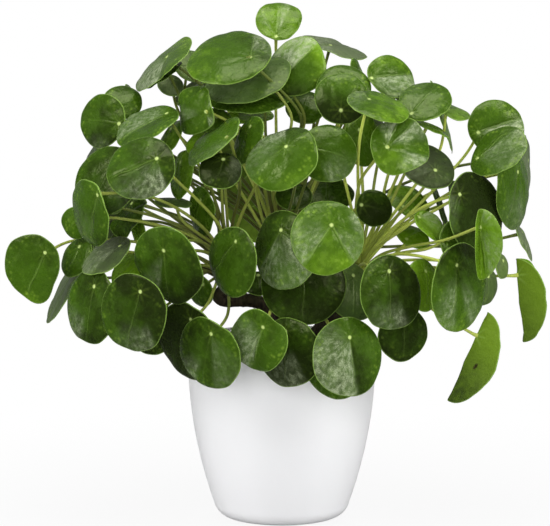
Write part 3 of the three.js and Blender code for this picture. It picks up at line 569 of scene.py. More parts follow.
def in_view(clock):
    """A direction in the view, in degrees clockwise from straight up."""
    return RIGHT * math.sin(math.radians(clock)) + UP * math.cos(math.radians(clock))


def unit(vectors):
    """The same directions at length one."""
    return vectors / np.linalg.norm(vectors, axis=-1, keepdims=True)


# %% The five plants
# root: where the stem leaves the soil. joint: where wood turns to green shoot. tip: where it grows.
PLANTS = {
    "left": {"root": (-14, -4), "knee": (-18, -8, 214), "joint": (-58, -10, 229), "tip": (-50, -6, 282)},
    "top": {"root": (2, 14), "knee": (0, 16, 200), "joint": (-4, 14, 240), "tip": (0, 8, 310)},
    "right": {"root": (20, -2), "knee": (44, -4, 196), "joint": (68, -6, 222), "tip": (82, -4, 276)},
    "front": {"root": (4, -26), "knee": (8, -34, 190), "joint": (10, -40, 216), "tip": (14, -44, 262)},
    "back": {"root": (0, 42), "knee": (4, 56, 190), "joint": (8, 68, 222), "tip": (10, 76, 284)},
}
SHOOT_RADIUS = 7.0
SHOOT_TIP_RADIUS = 4.5

# %% [markdown]
# The near leaves, one row each. across, down: the middle of the ellipse. near: how much nearer
# than the pot's axis. long, short: its half axes. faces: the way the blade's face turns from the
# eye, clockwise from straight up. seat: where the petiole joins. fold: how far each half is raised
# about its midrib. cup: how far the middle stands above the rim. wave: height of the rim's waves.
# slim: width over length. point: how far the rim runs out to a point, and which way that is.
# tuck: how far the petiole is held back from the eye, where other blades hide it.

# %% The near leaves
NEAR_LEAVES = {
    "top": [
        (278.8, 20.8, -15, 23.5, 20.3, 0, 276, 38, 8, 3, 1),
        (229, 57, 74, 43.8, 28, 345, 251, 61, 0, 6, 1, 1, 0, 0, 90),
        (247, 77, 52, 44, 25, 344, 262, 73, -4, 6, 2),
        (293.5, 67, 30, 33, 29, 315, 281.5, 83.5, -16, 4, 0),
        (250, 92, 34, 44, 23, 357, 264, 90, 0, 6, 1),
        (343, 88, 60, 28, 25, 0, 344, 92, 0, 4, 0),
        (359, 76, 18, 19, 6, 75, 358, 72, 0, 3, 0),
        (279.5, 155, 152, 38.5, 30.5, 325, 287.5, 149, -12, 6, 1),
        (326.5, 153, 105, 30.5, 29.5, 0, 313, 150, 0, 5, 1),
        (216, 120, 60, 17, 14, 20, 216, 116, 0, 2, 0),
        (194, 109, 84, 26, 19, 280, 207, 112, 0, 5, 4, 1, 0, 0, 60),
        (294, 196, 20, 19, 14, 0, 294, 188, 0, 3, 0),
        (305, 107, 18, 20, 17, 0, 303, 115, 0, 3, 0),
        (363, 140, 45, 27, 20, 90, 357, 130, 0, 4, 0),
        (250, 115, -10, 24, 9, 0, 250, 117, 0, 3, 0),
    ],
    "left": [
        (247.5, 140, 96, 26, 13, 290, 252, 127, 0, 4, 0),
        (213.5, 141.5, 102, 34, 12.5, 318, 227.5, 139, 0, 3, 1, 1, 0, 0, 50),
        (220, 170, 118, 22, 19, 0, 223, 160, 0, 4, 1),
        (198, 140, 72, 15, 10, 318, 205, 132, 0, 2, 0),
        (101.5, 120.5, 40, 28, 23, 275, 119.5, 124, 0, 4, 1),
        (148, 126.5, 72, 34, 17, 335, 167, 114, 8, 3, 0),
        (170, 137, 30, 20, 9, 300, 172, 130, 0, 3, 0),
        (140, 166, 120, 35.5, 32, 330, 157.5, 160, -13, 4, 1),
        (106.5, 180.5, 68, 37, 32, 300, 113, 168, 0, 5, 0),
        (89, 213, 95, 35, 19, 256, 101, 192, 0, 4, 0),
        (74.5, 223, 55, 16.5, 14, 250, 79, 217, 0, 3, 0),
        (110, 200, 60, 15, 11, 60, 106, 195, 0, 3, 0),
        (31, 264, 60, 33.5, 31.5, 250, 46, 252.5, 0, 3, 0, 1, 0.33, 167),
        (128, 216, 22, 24, 13, 300, 133, 204, 0, 3, 2),
        (137, 229, 5, 18, 8, 260, 138, 222, 0, 3, 0),
        (106, 255, 88, 29, 14, 328, 120.5, 247, 0, 3, 1),
        (61.5, 289, 26, 38, 9, 298, 72, 271, 0, 2, 0),
        (78, 258, 44, 21, 15, 300, 82, 248, 0, 3, 0),
        (90.5, 306, 96, 37.5, 27, 270, 96, 286, 0, 5, 0),
        (133, 312, 135, 40, 34, 255, 141.7, 291, 0, 5, 1),
        (167.5, 264.5, 125, 41, 31.5, 236, 165.5, 249, 0, 5, 1),
        (135, 270, 70, 27, 19, 330, 144, 262, 0, 3, 0),
        (231.8, 261.5, 130, 35.5, 24.5, 265, 237, 241, 0, 5, 1),
        (208.5, 353.5, 132, 38, 29, 246, 213, 332.5, 0, 5, 1),
        (189.5, 342, 98, 42, 30, 242, 193, 318, 0, 5, 0),
        (152, 328, 70, 28, 24, 270, 154, 312, 0, 4, 0),
        (173, 202, 40, 19, 5, 5, 176, 201, 0, 3, 0),
        (180, 174, 55, 25, 12, 280, 181, 162, 0, 3, 0),
        (201, 211, 20, 25, 13, 265, 203, 200, 0, 4, 0),
        (200, 291, 20, 17, 12, 250, 204, 284, 0, 3, 0),
    ],
    "back": [
        (333.5, 46.5, -40, 35, 9.5, 17, 330, 48, 0, 3, 1),
        (192, 64, -20, 20, 16, 30, 188, 66, 0, 3, 0),
        (163, 63.5, 20, 37, 12.5, 316, 167.5, 59, 0, 3, 1),
        (165, 76, 4, 22, 5, 325, 168, 73, 0, 3, 0, 1, 0, 0, 42),
        (171, 85, -25, 13.5, 11, 20, 172, 80, 0, 3, 0),
        (123, 101.5, 8, 20, 17, 20, 118, 110, 0, 3, 0),
        (132, 101, -14, 18, 4, 75, 130, 96, 0, 3, 0),
        (526, 176, -22, 40, 8.5, 93, 527, 160, 0, 4, 0),
        (523.5, 240, -8, 23, 4.5, 65, 520.5, 233, 0, 3, 0),
        (327, 194, -66, 27, 19, 0, 327, 182, 0, 4, 0),
    ],
    "front": [
        (283, 249.5, 140, 40.5, 32, 275, 283, 230, -6, 6, 0),
        (326.7, 237, 178, 37.5, 37, 0, 331, 225.5, -8, 6, 2),
        (303, 284, 108, 43, 40, 0, 303, 270, 0, 6, 0),
        (352, 291, 78, 31, 24, 60, 352, 276, 0, 4, 0),
        (258.5, 340, 152, 32.5, 28, 250, 264.5, 326, 4, 5, 3),
        (288.5, 352.5, 128, 35.5, 30.5, 265, 286.5, 331, 0, 5, 1),
        (350.5, 356.5, 152, 40.5, 36, 85, 348, 337, -12, 4, 0),
        (333, 367, 118, 34, 29, 240, 330, 348, 0, 4, 0),
        (374, 208, 58, 19, 18.5, 60, 361, 205, 0, 3, 0),
        (258, 283, 30, 15, 12, 0, 258, 276, 0, 3, 0),
    ],
    "right": [
        (341.5, 98, 95, 27, 26.5, 0, 340.5, 111, 0, 5, 0),
        (391, 78.5, 45, 25.5, 21, 38, 370, 79, 12, 4, 0),
        (424.5, 100.5, 72, 27, 20.5, 350, 411, 114, 0, 4, 1),
        (453.5, 111, 50, 18, 7.5, 20, 447, 111, 0, 3, 0),
        (432, 128, 55, 20, 4, 25, 427, 126, 0, 3, 0),
        (442, 116, 5, 38, 4, 73, 439, 106, 0, 3, 0),
        (378, 106, 118, 32, 15.5, 17, 368, 101, 0, 3, 0),
        (400, 145.5, 138, 31, 29, 20, 386.5, 147.5, 8, 4, 5),
        (390.5, 292.5, 140, 37.5, 32, 85, 387, 271, 0, 5, 1),
        (424, 285, 92, 26.5, 18, 80, 424, 271, 0, 4, 0),
        (403, 333, 95, 28, 25, 95, 402, 320, 0, 5, 0),
        (459.5, 287, 120, 44, 30, 97, 453, 264.5, 0, 6, 0),
        (474, 212, 78, 42, 29.5, 80, 454.5, 194, 0, 6, 0),
        (463, 245, 90, 27, 22, 60, 447, 240, 0, 4, 0),
        (480.5, 243.5, 132, 35, 33, 90, 480.5, 227, 56, 0, 0, 0.78),
        (496, 127, 22, 28.5, 27.5, 0, 478, 133, 5, 4, 0),
        (499, 155, 62, 32, 19.5, 318, 479, 160, 10, 3, 0),
        (511, 191, 32, 39, 19.5, 92, 512.5, 172, 0, 5, 0),
        (521.5, 299.5, 40, 42.5, 0.5, 84, 517.5, 275, 68, 0, 0, 0.7),
        (469, 357.5, 60, 48, 0.5, 114, 478, 336, 68, 0, 0, 0.7),
        (502.5, 266, 55, 13, 7, 80, 501, 261, 0, 3, 0),
        (486, 287, 70, 19, 13, 100, 487, 276, 0, 3, 0),
        (429.5, 225.5, 100, 18.5, 12, 48, 420, 216, 20, 2, 0),
        (428, 166, 86, 28, 22, 25, 434, 172, 0, 4, 0),
        (409, 201, 0, 23, 15, 30, 402, 208, 0, 4, 0),
        (413, 236, -10, 18, 11, 20, 406, 240, 0, 3, 0),
    ],
}
print("near leaves:", sum(len(rows) for rows in NEAR_LEAVES.values()))


# %% From an ellipse to a disc in space
PLAIN_LOOK = (0, 4, 0, 1, 0, 0, 0)  # fold, cup, wave, slim, point, its way, and tuck
SEAT_RANGE = (0.2, 0.86)  # how far the seat may be from the middle, as a share of the radius
LEAST_TURN = 0.3  # a blade seen from narrower than this share tells little of its seat


def make_leaf(middle, face, out, radius, plant, look):
    """out: from the middle of the blade to the petiole's seat, in the blade's plane."""
    fold, cup, wave, slim, point, point_clock, tuck = [*look, *PLAIN_LOOK[len(look):]]
    tip = unit(-out)
    side = unit(np.cross(tip, face))
    point_way = in_view(point_clock)
    return {
        "middle": middle, "face": face, "tip": tip, "side": side, "radius": radius, "plant": plant,
        "seat": np.clip(np.linalg.norm(out) / radius, *SEAT_RANGE), "cup": cup, "wave": wave,
        "half_width": radius * slim, "fold": math.radians(fold), "point": point, "tuck": tuck,
        "point_angle": math.atan2(point_way @ side, point_way @ tip),
    }


def near_leaf(row, plant):
    """The leaf whose row gives what the eye sees of it."""
    across, down, near, long, short, faces, seat_across, seat_down, *look = row
    turn = math.acos(short / long)
    leaning = in_view(faces)
    level = in_view(faces + 90)
    face = TO_EYE * math.cos(turn) + leaning * math.sin(turn)
    in_plane = leaning * math.cos(turn) - TO_EYE * math.sin(turn)
    scale = (EYE_DISTANCE - near) / EYE_DISTANCE
    seat_way = RIGHT * (seat_across - across) * scale + UP * (down - seat_down) * scale
    foreshortened = seat_way @ leaning / max(abs(short / long), LEAST_TURN)
    out = level * (seat_way @ level) + in_plane * math.copysign(foreshortened, foreshortened * short)
    return make_leaf(seen(across, down, near), face, out, long * scale, plant, look)


# %% [markdown]
# ## The leaves of the far side
# Nobody sees these in the photograph, so a rule places them, as the plant itself would: round a
# dome, each a golden angle on from the last, turned outwards and up. The random draws come from a
# seeded row of numbers, so that every run grows the same plant.

# %% The far leaves
FAR_COUNT = 19
FAR_TRIALS = 90
FAR_CENTRE = np.array([0, 30, 285.0])
FAR_REACH = np.array([205, 205, 180.0])  # radii of the dome that the far leaves lie on
GOLDEN_TURN = 137.508
FAR_SEED = 22
FAR_LOOK = (0, 5, 1, 0.95)  # fold, cup, wave and slim
SIDE_PLANTS = 110  # far leaves this far out belong to the side plants,
TOP_RISE = 0.75  # those above this angle, in radians, to the top plant,
LEFT_RISE = 0.2  # and those at the left only below this one

# Places where light shows between the near leaves: across, down and radius in the view.
SIGHT_GAPS = [
    (223, 313, 20), (272, 311, 8), (330, 316, 16), (177, 212, 30), (180, 143, 10), (152, 99, 12),
    (395, 180, 14), (375, 170, 12), (350, 172, 10), (430, 256, 18), (460, 160, 22),
    (460, 138, 16), (335, 62, 8), (287, 110, 10), (305, 190, 6), (513, 252, 18),
]


def random_numbers(seed):
    """A repeatable row of numbers from 0 to 1."""
    state = seed
    while True:
        state = state * 16807 % 2147483647
        yield state / 2147483647


def as_seen(point):
    """Where a point is seen, across and down the view."""
    way = point - AXIS_POINT
    scale = EYE_DISTANCE / (EYE_DISTANCE - way @ TO_EYE)
    return AXIS_ACROSS + way @ RIGHT * scale, AXIS_DOWN - way @ UP * scale


def turned(vector, axis, angle):
    """The vector turned about a unit axis that it is square to."""
    return vector * math.cos(angle) + np.cross(axis, vector) * math.sin(angle)


def far_plant(x, rise):
    """The plant that a far leaf belongs to, by its side and height on the dome."""
    if x > SIDE_PLANTS:
        return "right"
    if rise > TOP_RISE:
        return "top"
    return "left" if x < -SIDE_PLANTS and rise < LEFT_RISE else "back"


def far_leaves():
    """The far side's leaves, without those that would close a gap that light shows through."""
    draw = random_numbers(FAR_SEED)
    leaves = []
    for i in range(FAR_TRIALS):
        if len(leaves) == FAR_COUNT:
            break
        share = (i + 0.5) / FAR_TRIALS
        rise = math.asin(0.98 * (1 - share) - 0.52 * share)
        turn = math.radians(i * GOLDEN_TURN % 190 - 5)  # from +X round the back to -X
        depth = 0.78 + 0.24 * next(draw)
        spin = math.radians(-35 + 70 * next(draw))
        radius = 28 + 15 * next(draw)
        tilt = math.radians(min(max(math.degrees(rise) + 8, 4), 72))
        outward = np.array([math.cos(turn), math.sin(turn), 0])
        way = outward * math.cos(rise) + np.array([0, 0, math.sin(rise)])
        middle = way * FAR_REACH * depth + FAR_CENTRE
        across, down = as_seen(middle)
        if any(math.hypot(across - x, down - y) < r + 0.84 * radius for x, y, r in SIGHT_GAPS):
            continue
        face = outward * math.cos(tilt) + np.array([0, 0, math.sin(tilt)])
        rising = unit(np.array([0, 0, 1]) - face * face[2])
        out = turned(rising, face, spin) * 0.46 * radius
        leaves.append(make_leaf(middle, face, out, radius, far_plant(middle[0], rise), FAR_LOOK))
    return leaves


near_leaves = [near_leaf(row, plant) for plant, rows in NEAR_LEAVES.items() for row in rows]
all_leaves = near_leaves + far_leaves()
leaf_plants = np.array([leaf["plant"] for leaf in all_leaves])
leaf = {key: np.array([one[key] for one in all_leaves]) for key in all_leaves[0] if key != "plant"}
print("leaves with the far side's:", len(all_leaves))

# %% [markdown]
# ## Blades that don't touch
# Discs placed one by one cut through each other. The plant has no such trouble, because a growing leaf
# moves aside. The same is done here in rounds: wherever one blade lies too close over another, both
# slide apart, mostly along the line of sight, so that the view of them hardly changes. numpy holds
# all the blades in one array and settles every pair at once.


# %% The shape of a blade
RIM_WAVES = 3
POINT_SHARPNESS = 8
POINT_EASE = 0.3  # how far the rest of the rim draws in, as a share of the point


def blade_height(u, v, cup, wave, radius):
    """How far a blade stands off its own folded plane. u, v: shares of its length and width."""
    reach = u * u + v * v
    return (cup * (1 - reach)
            + wave * np.minimum(reach, 1.2) * np.sin(RIM_WAVES * np.arctan2(v, u) + radius))


def outline(angle, point, point_angle):
    """How far out the rim is, as a share of an even blade's."""
    ahead = np.maximum(np.cos(angle - point_angle), 0)
    return 1 + point * ahead ** POINT_SHARPNESS - POINT_EASE * point


def on_disc(angle, share, reach, seat):
    """Shares of the blade's length and width: share 0 is the petiole's seat, and 1 the rim."""
    return -seat * (1 - share) + np.cos(angle) * reach * share, np.sin(angle) * reach * share


def in_space(one, along, sideways, height):
    """Points at places along a blade, sideways on it and off it."""
    return (one["middle"] + one["tip"] * along[..., None] + one["side"] * sideways[..., None]
            + one["face"] * height[..., None])


def column(values, dims):
    """One number for each leaf, with axes added so that it meets an array of points."""
    return values.reshape(-1, *[1] * dims)


def blade_points(angle, share):
    """Points on every blade: angle 0 is its tip, share 0 the petiole's seat and 1 the rim."""
    dims = np.ndim(angle + share)
    every = {key: values.reshape(-1, *[1] * dims, *values.shape[1:]) for key, values in leaf.items()}
    reach = outline(angle, every["point"], every["point_angle"])
    u, v = on_disc(angle, share, reach, every["seat"])
    across = v * every["half_width"]
    height = (blade_height(u, v, every["cup"], every["wave"], every["radius"])
              + np.abs(across) * np.sin(every["fold"]))
    return in_space(every, u * every["radius"], across * np.cos(every["fold"]), height)


def seat_points():
    """Where each petiole meets its blade."""
    return blade_points(np.zeros(1), np.zeros(1))[:, 0]


def against_blades(points):
    """Every point's place against every blade: along and across it, and its distance off it."""
    way = points[None] - leaf["middle"][:, None]
    along, sideways, up = (np.einsum("lpc,lc->lp", way, leaf[key]) for key in ("tip", "side", "face"))
    cos, sin = np.cos(leaf["fold"])[:, None], np.sin(leaf["fold"])[:, None]
    width = np.maximum(np.abs(sideways) * cos + up * sin, 0)
    across = np.where(sideways < 0, -width, width)
    height = blade_height(along / leaf["radius"][:, None], across / leaf["half_width"][:, None],
                          leaf["cup"][:, None], leaf["wave"][:, None], leaf["radius"][:, None])
    return along, across, (up - height) * cos - np.abs(sideways) * sin


def outwardness(along, across, margin, dims=1):
    """How far out of a blade's middle a place is: under 1 it is over the blade."""
    return np.hypot(along / (column(leaf["radius"], dims) + margin),
                    across / (column(leaf["half_width"], dims) + margin))


def shortened(vectors, most):
    """The vectors, none longer than most."""
    length = np.linalg.norm(vectors, axis=-1, keepdims=True)
    return vectors * np.minimum(1, most / np.maximum(length, 1e-12))


# %% Blades slide apart
BLADE_ROUNDS = 160
BLADE_CLEARANCE = 2.6
CLEARED = 0.2  # the rounds end once no blade is this far short of its clearance
SIDE_SHARE = 0.12  # how readily a blade moves across the line of sight instead of along it
EASE = 0.3  # the share of what is lacking that one round makes up
MOST_LACKING = 6  # what is lacking counts as no more than this,
LONGEST_SLIDE = 5  # and a blade slides no further than this in a round
SAMPLES = 12  # points round each of two rings that stand for a blade


def slide_blades_apart():
    """Moves the middles of the blades, and says how much clearance is still lacking."""
    count = len(leaf["radius"])
    turns = np.arange(SAMPLES) / SAMPLES * 2 * math.pi
    angle = np.concatenate([[0], turns, turns])
    share = np.concatenate([[0], np.full(SAMPLES, 0.5), np.full(SAMPLES, 1.0)])
    others = ~np.eye(count, dtype=bool)
    for _ in range(BLADE_ROUNDS):
        samples = blade_points(angle, share)
        middles = samples.mean(axis=1)
        places = against_blades(samples.reshape(-1, 3))
        along, across, off = (part.reshape(count, count, -1) for part in places)
        apart = np.linalg.norm(middles[:, None] - middles[None], axis=-1)
        close = others & (apart <= leaf["radius"][:, None] + leaf["radius"][None] + 4)
        over = (outwardness(along, across, 2, dims=2) < 1) & close[..., None]
        sign = np.sign(np.where(over, off, 0).sum(axis=2) + 1e-9)
        least = np.where(over, off * sign[..., None], np.inf).min(axis=2)
        short = np.where(over.any(axis=2), BLADE_CLEARANCE - least, 0)
        push = leaf["face"][:, None] * sign[..., None]
        facing = push @ TO_EYE
        way = TO_EYE * (facing * (1 - SIDE_SHARE))[..., None] + push * SIDE_SHARE
        size = EASE * np.clip(short, 0, MOST_LACKING) / np.einsum("ijc,ijc->ij", way, push)
        way *= size[..., None]
        leaf["middle"] = leaf["middle"] + shortened(way.sum(axis=0) - way.sum(axis=1), LONGEST_SLIDE)
        if short.max() < CLEARED:
            break
    return short.max()


print("blades still short of their clearance by at most", round(float(slide_blades_apart()), 2), "mm")

# %% [markdown]
# ## Petioles that find their way
# Each leaf hangs on a long stalk, its petiole, which meets the blade from behind. A curve from the
# shoot to the blade is easily drawn, but most such curves would run through another blade. So every
# route starts as a plain arch and is then bent in small steps: off the blades, round the rim of a
# blade in its way, and off the other petioles, while it keeps its own bend as far as it can.

# %% The first routes
PETIOLE_STATIONS = 6
NECK = 7.0  # the straight last stretch, square to the blade
ROOT_DEPTH = 1.9  # how far under the shoot's skin a petiole starts
LOWEST_ROOT = 0.12  # where the lowest leaf joins its shoot, as a share of the shoot's length,
ROOT_SPAN = 0.8  # and how far up from there the highest joins
LEVEL_LIFT = 0.75  # how steeply a petiole rises from its shoot to a blade that is no higher,
LIFT_GAIN = 0.5  # how much more for a blade that is higher,
LIFT_RANGE = (0.3, 1.1)  # and the least and most
OUTWARD = 0.65
ARCH_SHARES = (0.34, 0.3)  # how far its ends stay on their ways, as shares of the petiole's span


def place_roots():
    """Lower leaves join their shoot lower down: a share of the shoot's length for each leaf."""
    share = np.zeros(len(leaf_plants))
    for plant in PLANTS:
        own = np.flatnonzero(leaf_plants == plant)
        order = own[np.argsort(leaf["middle"][own, 2], kind="stable")]
        share[order] = LOWEST_ROOT + ROOT_SPAN * np.arange(len(order)) / max(len(order) - 1, 1)
    return share


def root_point(plant, share, seat):
    """Where a petiole starts, under the skin of its shoot and on the side towards its seat."""
    joint, tip = (np.array(PLANTS[plant][key], float) for key in ("joint", "tip"))
    axis = unit(tip - joint)
    root = joint + (tip - joint) * share
    out = seat - root
    out = unit(out - axis * (out @ axis))
    return root + out * (SHOOT_RADIUS + (SHOOT_TIP_RADIUS - SHOOT_RADIUS) * share - ROOT_DEPTH)


def first_route(root, seat, face, tuck):
    """Out of the shoot, up and over, and square into the blade."""
    neck = seat - face * NECK
    span = np.linalg.norm(neck - root)
    flat = unit((neck - root) * np.array([1, 1, 0]))
    lift = np.clip(LEVEL_LIFT + LIFT_GAIN * (neck[2] - root[2]) / span, *LIFT_RANGE)
    rise = unit(np.array([0, 0, lift]) + flat * OUTWARD)
    behind = TO_EYE * tuck
    arch = [root, root + rise * ARCH_SHARES[0] * span - behind,
            neck - face * ARCH_SHARES[1] * span - behind, neck]
    t = np.linspace(0, 1, PETIOLE_STATIONS - 1)[:, None]
    points = ((1 - t) ** 3 * arch[0] + 3 * t * (1 - t) ** 2 * arch[1]
              + 3 * t ** 2 * (1 - t) * arch[2] + t ** 3 * arch[3])
    return np.vstack([points, seat])


root_shares = place_roots()
seats = seat_points()
routes = np.array([first_route(root_point(leaf_plants[i], root_shares[i], seats[i]), seats[i],
                               leaf["face"][i], leaf["tuck"][i]) for i in range(len(leaf_plants))])

# %% Routes bend clear
PETIOLE_ROUNDS = 220
PETIOLE_CLEARANCE = 3.6  # between a petiole's axis and a blade
PETIOLE_SPACING = 4.9  # between two petioles' axes
RIM_BERTH = 6.0  # how far petioles pass above the pot's rim
RIM_ZONE = (-14, 10)  # from how far inside the rim to how far outside it
NEAR_ROUTE = 1.6  # a blade has to do with routes that come within this many of its own reaches
LINKS_SPAN = 60  # two stretches of petiole further apart than this are left alone
SHARED_STATIONS = 3  # so near their shoot, petioles of one plant may touch
PUSH_OFF = 0.5  # the share of what is lacking that one round makes up, off a blade,
PUSH_APART = 0.45  # and between two petioles
ROUND_RIM = 0.6  # how far a round moves a crossing towards the rim, as a share of the way there
STIFFNESS = 0.24
LONGEST_BEND = 4  # how far a point moves at most in a round
LAST = PETIOLE_STATIONS - 2  # the neck and the seat stay where they are


def off_blades(routes):
    """The moves that take each route's middle points off the blades and round their rims."""
    count = len(routes)
    places = against_blades(routes.reshape(-1, 3))
    along, across, off = (part.reshape(count, count, PETIOLE_STATIONS) for part in places)
    # The first index is the blade, and the second the route.
    out = outwardness(along, across, PETIOLE_CLEARANCE, dims=2)
    near = ~np.eye(count, dtype=bool) & (out.min(axis=2) <= NEAR_ROUTE)
    moves = np.zeros_like(routes)
    middle = slice(1, LAST)
    gap = PETIOLE_CLEARANCE - np.abs(off[..., middle])
    push = np.where(near[..., None] & (out[..., middle] < 1) & (gap > 0),
                    PUSH_OFF * gap * np.sign(off[..., middle] + 1e-9), 0)
    moves[:, middle] += np.einsum("jik,jc->ikc", push, leaf["face"])
    for k in range(LAST):
        crossing = near & (off[..., k] * off[..., k + 1] < 0)
        blade, route = np.nonzero(crossing)
        share = off[blade, route, k] / (off[blade, route, k] - off[blade, route, k + 1])
        here = [part[blade, route, k] + (part[blade, route, k + 1] - part[blade, route, k]) * share
                for part in (along, across)]
        inside = np.hypot(here[0] / (leaf["radius"][blade] + PETIOLE_CLEARANCE),
                          here[1] / (leaf["half_width"][blade] + PETIOLE_CLEARANCE))
        way = unit(leaf["tip"][blade] * here[0][:, None] + leaf["side"][blade] * here[1][:, None])
        need = np.where(inside < 1, ROUND_RIM * (1 - inside) * leaf["radius"][blade] + 0.6, 0)
        if k > 0:
            np.add.at(moves, (route, k), way * (need * (1 - share) + 0.3 * need)[:, None])
        if k + 1 < LAST:
            np.add.at(moves, (route, k + 1), way * (need * share + 0.3 * need)[:, None])
    return moves


def nearest(a, b, c, d):
    """The nearest places on segments a-b and c-d, as shares of each, and the way between them."""
    u, v, w = b - a, d - c, a - c
    pairs = ((u, u), (u, v), (v, v), (u, w), (v, w))
    uu, uv, vv, uw, vw = (np.einsum("pc,pc->p", x, y) for x, y in pairs)
    bottom = uu * vv - uv * uv
    s = np.where(bottom > 1e-9, np.clip((uv * vw - vv * uw) / np.maximum(bottom, 1e-9), 0, 1), 0)
    t = np.clip((uv * s + vw) / vv, 0, 1)
    s = np.clip((uv * t - uw) / uu, 0, 1)
    return s, t, w + u * s[:, None] - v * t[:, None]


def off_each_other(routes, pairs):
    """The moves that keep petioles a spacing apart."""
    i, j, k, m = pairs.T
    close = ((routes[i, k] - routes[j, m]) ** 2).sum(axis=1) <= LINKS_SPAN ** 2
    i, j, k, m = pairs[close].T
    s, t, way = nearest(routes[i, k], routes[i, k + 1], routes[j, m], routes[j, m + 1])
    gap = np.linalg.norm(way, axis=1)
    lacking = PUSH_APART * np.maximum(PETIOLE_SPACING - gap, 0)
    way = way * np.where(gap < 1e-6, 0, lacking / np.maximum(gap, 1e-6))[:, None]
    moves = np.zeros_like(routes)
    for route, place, amount in ((i, k, 1 - s), (i, k + 1, s), (j, m, t - 1), (j, m + 1, -t)):
        np.add.at(moves, (route, place), way * amount[:, None])
    return moves


def segment_pairs():
    """Every pair of stretches on two routes, except near a shoot that both grow from."""
    steps = range(LAST + 1)
    return np.array([(i, j, k, m)
                     for i in range(len(leaf_plants)) for j in range(i + 1, len(leaf_plants))
                     for k in steps for m in steps
                     if leaf_plants[i] != leaf_plants[j] or k + m >= SHARED_STATIONS])


def clear_of_rim(points):
    """Lifts what would run through the pot's rim."""
    past_rim = np.hypot(points[..., 0], points[..., 1]) - POT_RIM_RADIUS
    over_rim = (past_rim > RIM_ZONE[0]) & (past_rim < RIM_ZONE[1])
    low = over_rim & (points[..., 2] < POT_HEIGHT + RIM_BERTH)
    points[..., 2] = np.where(low, POT_HEIGHT + RIM_BERTH, points[..., 2])


def bend_clear(routes):
    """Bends the routes clear, in rounds, while each keeps its own bend as far as it can."""
    def bends():
        return (routes[:, :LAST - 1] + routes[:, 2:LAST + 1]) / 2 - routes[:, 1:LAST]

    rest = bends()
    pairs = segment_pairs()
    for _ in range(PETIOLE_ROUNDS):
        moves = off_blades(routes) + off_each_other(routes, pairs)
        moves[:, 1:LAST] += STIFFNESS * (bends() - rest)
        routes[:, 1:LAST] += shortened(moves[:, 1:LAST], LONGEST_BEND)
        clear_of_rim(routes[:, 1:LAST])


bend_clear(routes)
lengths = np.linalg.norm(np.diff(routes, axis=1), axis=2).sum(axis=1)
print("petioles:", len(routes), "of", round(float(lengths.min())), "to", round(float(lengths.max())), "mm")

# %% [markdown]
# ## Stalks of every kind
# Petioles, green shoots and woody stems are all rods along a path, so one tree makes them all. It
# takes a chain of points, draws a smooth curve through them, sets the radius from the place along
# it, and sweeps a circle. Two numbers ride on the points: along, from 0 at the foot to 1 at the
# end, and tone, a draw for each stalk that its colour is varied by, which for the petioles holds
# painted light and shade as well.

# %% The stalk recipe
FOOT_SHARPNESS = 14.0  # the sharper, the shorter the stretch that widens at the foot,
END_SHARPNESS = 30.0  # at the end,
KNOT_SHARPNESS = 6.0  # and at each knot

stalk_recipe, first, last = new_recipe("stalk", {
    "Smoothness": "Int", "Step": "Float", "Sides": "Int", "Foot Radius": "Float", "End Radius": "Float",
    "Foot Flare": "Float", "End Flare": "Float", "Knots": "Float", "Knot Height": "Float",
    "Roughness": "Float", "Grain": "Float", "Material": "Material"})
tree = stalk_recipe
size = first.outputs
along = add_node(tree, "GeometryNodeInputNamedAttribute", {"Name": "along"}, data_type="FLOAT").outputs[0]
chain = add_node(tree, "GeometryNodeMeshToCurve", {"Mesh": size["Geometry"]})
smooth = add_node(tree, "GeometryNodeCurveSplineType", {"Curve": chain.outputs[0]},
                  spline_type="CATMULL_ROM")
fine = add_node(tree, "GeometryNodeSetSplineResolution", {"Geometry": smooth.outputs[0],
                "Resolution": size["Smoothness"]})
steps = add_node(tree, "GeometryNodeResampleCurve", {"Curve": fine.outputs[0], "Length": size["Step"]},
                 mode="LENGTH")
from_foot = calc(tree, "SUBTRACT", 1.0, along)
taper = plus(tree, times(tree, size["Foot Radius"], from_foot), times(tree, size["End Radius"], along))
foot = times(tree, size["Foot Flare"], calc(tree, "POWER", from_foot, FOOT_SHARPNESS))
end = times(tree, size["End Flare"], calc(tree, "POWER", along, END_SHARPNESS))
waxing = calc(tree, "PINGPONG", times(tree, along, size["Knots"]), 1.0)
swell = times(tree, calc(tree, "POWER", waxing, KNOT_SHARPNESS), size["Knot Height"])
radius = plus(tree, taper, swell, plus(tree, foot, end))
circle = add_node(tree, "GeometryNodeCurvePrimitiveCircle", {"Resolution": size["Sides"], "Radius": 1.0})
rod = add_node(tree, "GeometryNodeCurveToMesh", {
    "Curve": steps.outputs[0], "Profile Curve": circle.outputs[0], "Scale": radius, "Fill Caps": True})
rough = noise(tree, add_node(tree, "GeometryNodeInputPosition").outputs[0], size["Grain"])
outward = add_node(tree, "ShaderNodeVectorMath", {
    0: add_node(tree, "GeometryNodeInputNormal").outputs[0],
    "Scale": sway(tree, rough, size["Roughness"])}, operation="SCALE")
pushed = add_node(tree, "GeometryNodeSetPosition", {
    "Geometry": rod.outputs[0], "Offset": outward.outputs[0]})
shaded = add_node(tree, "GeometryNodeSetShadeSmooth", {"Geometry": pushed.outputs[0]})
end_recipe(tree, shaded.outputs[0], size["Material"], last)


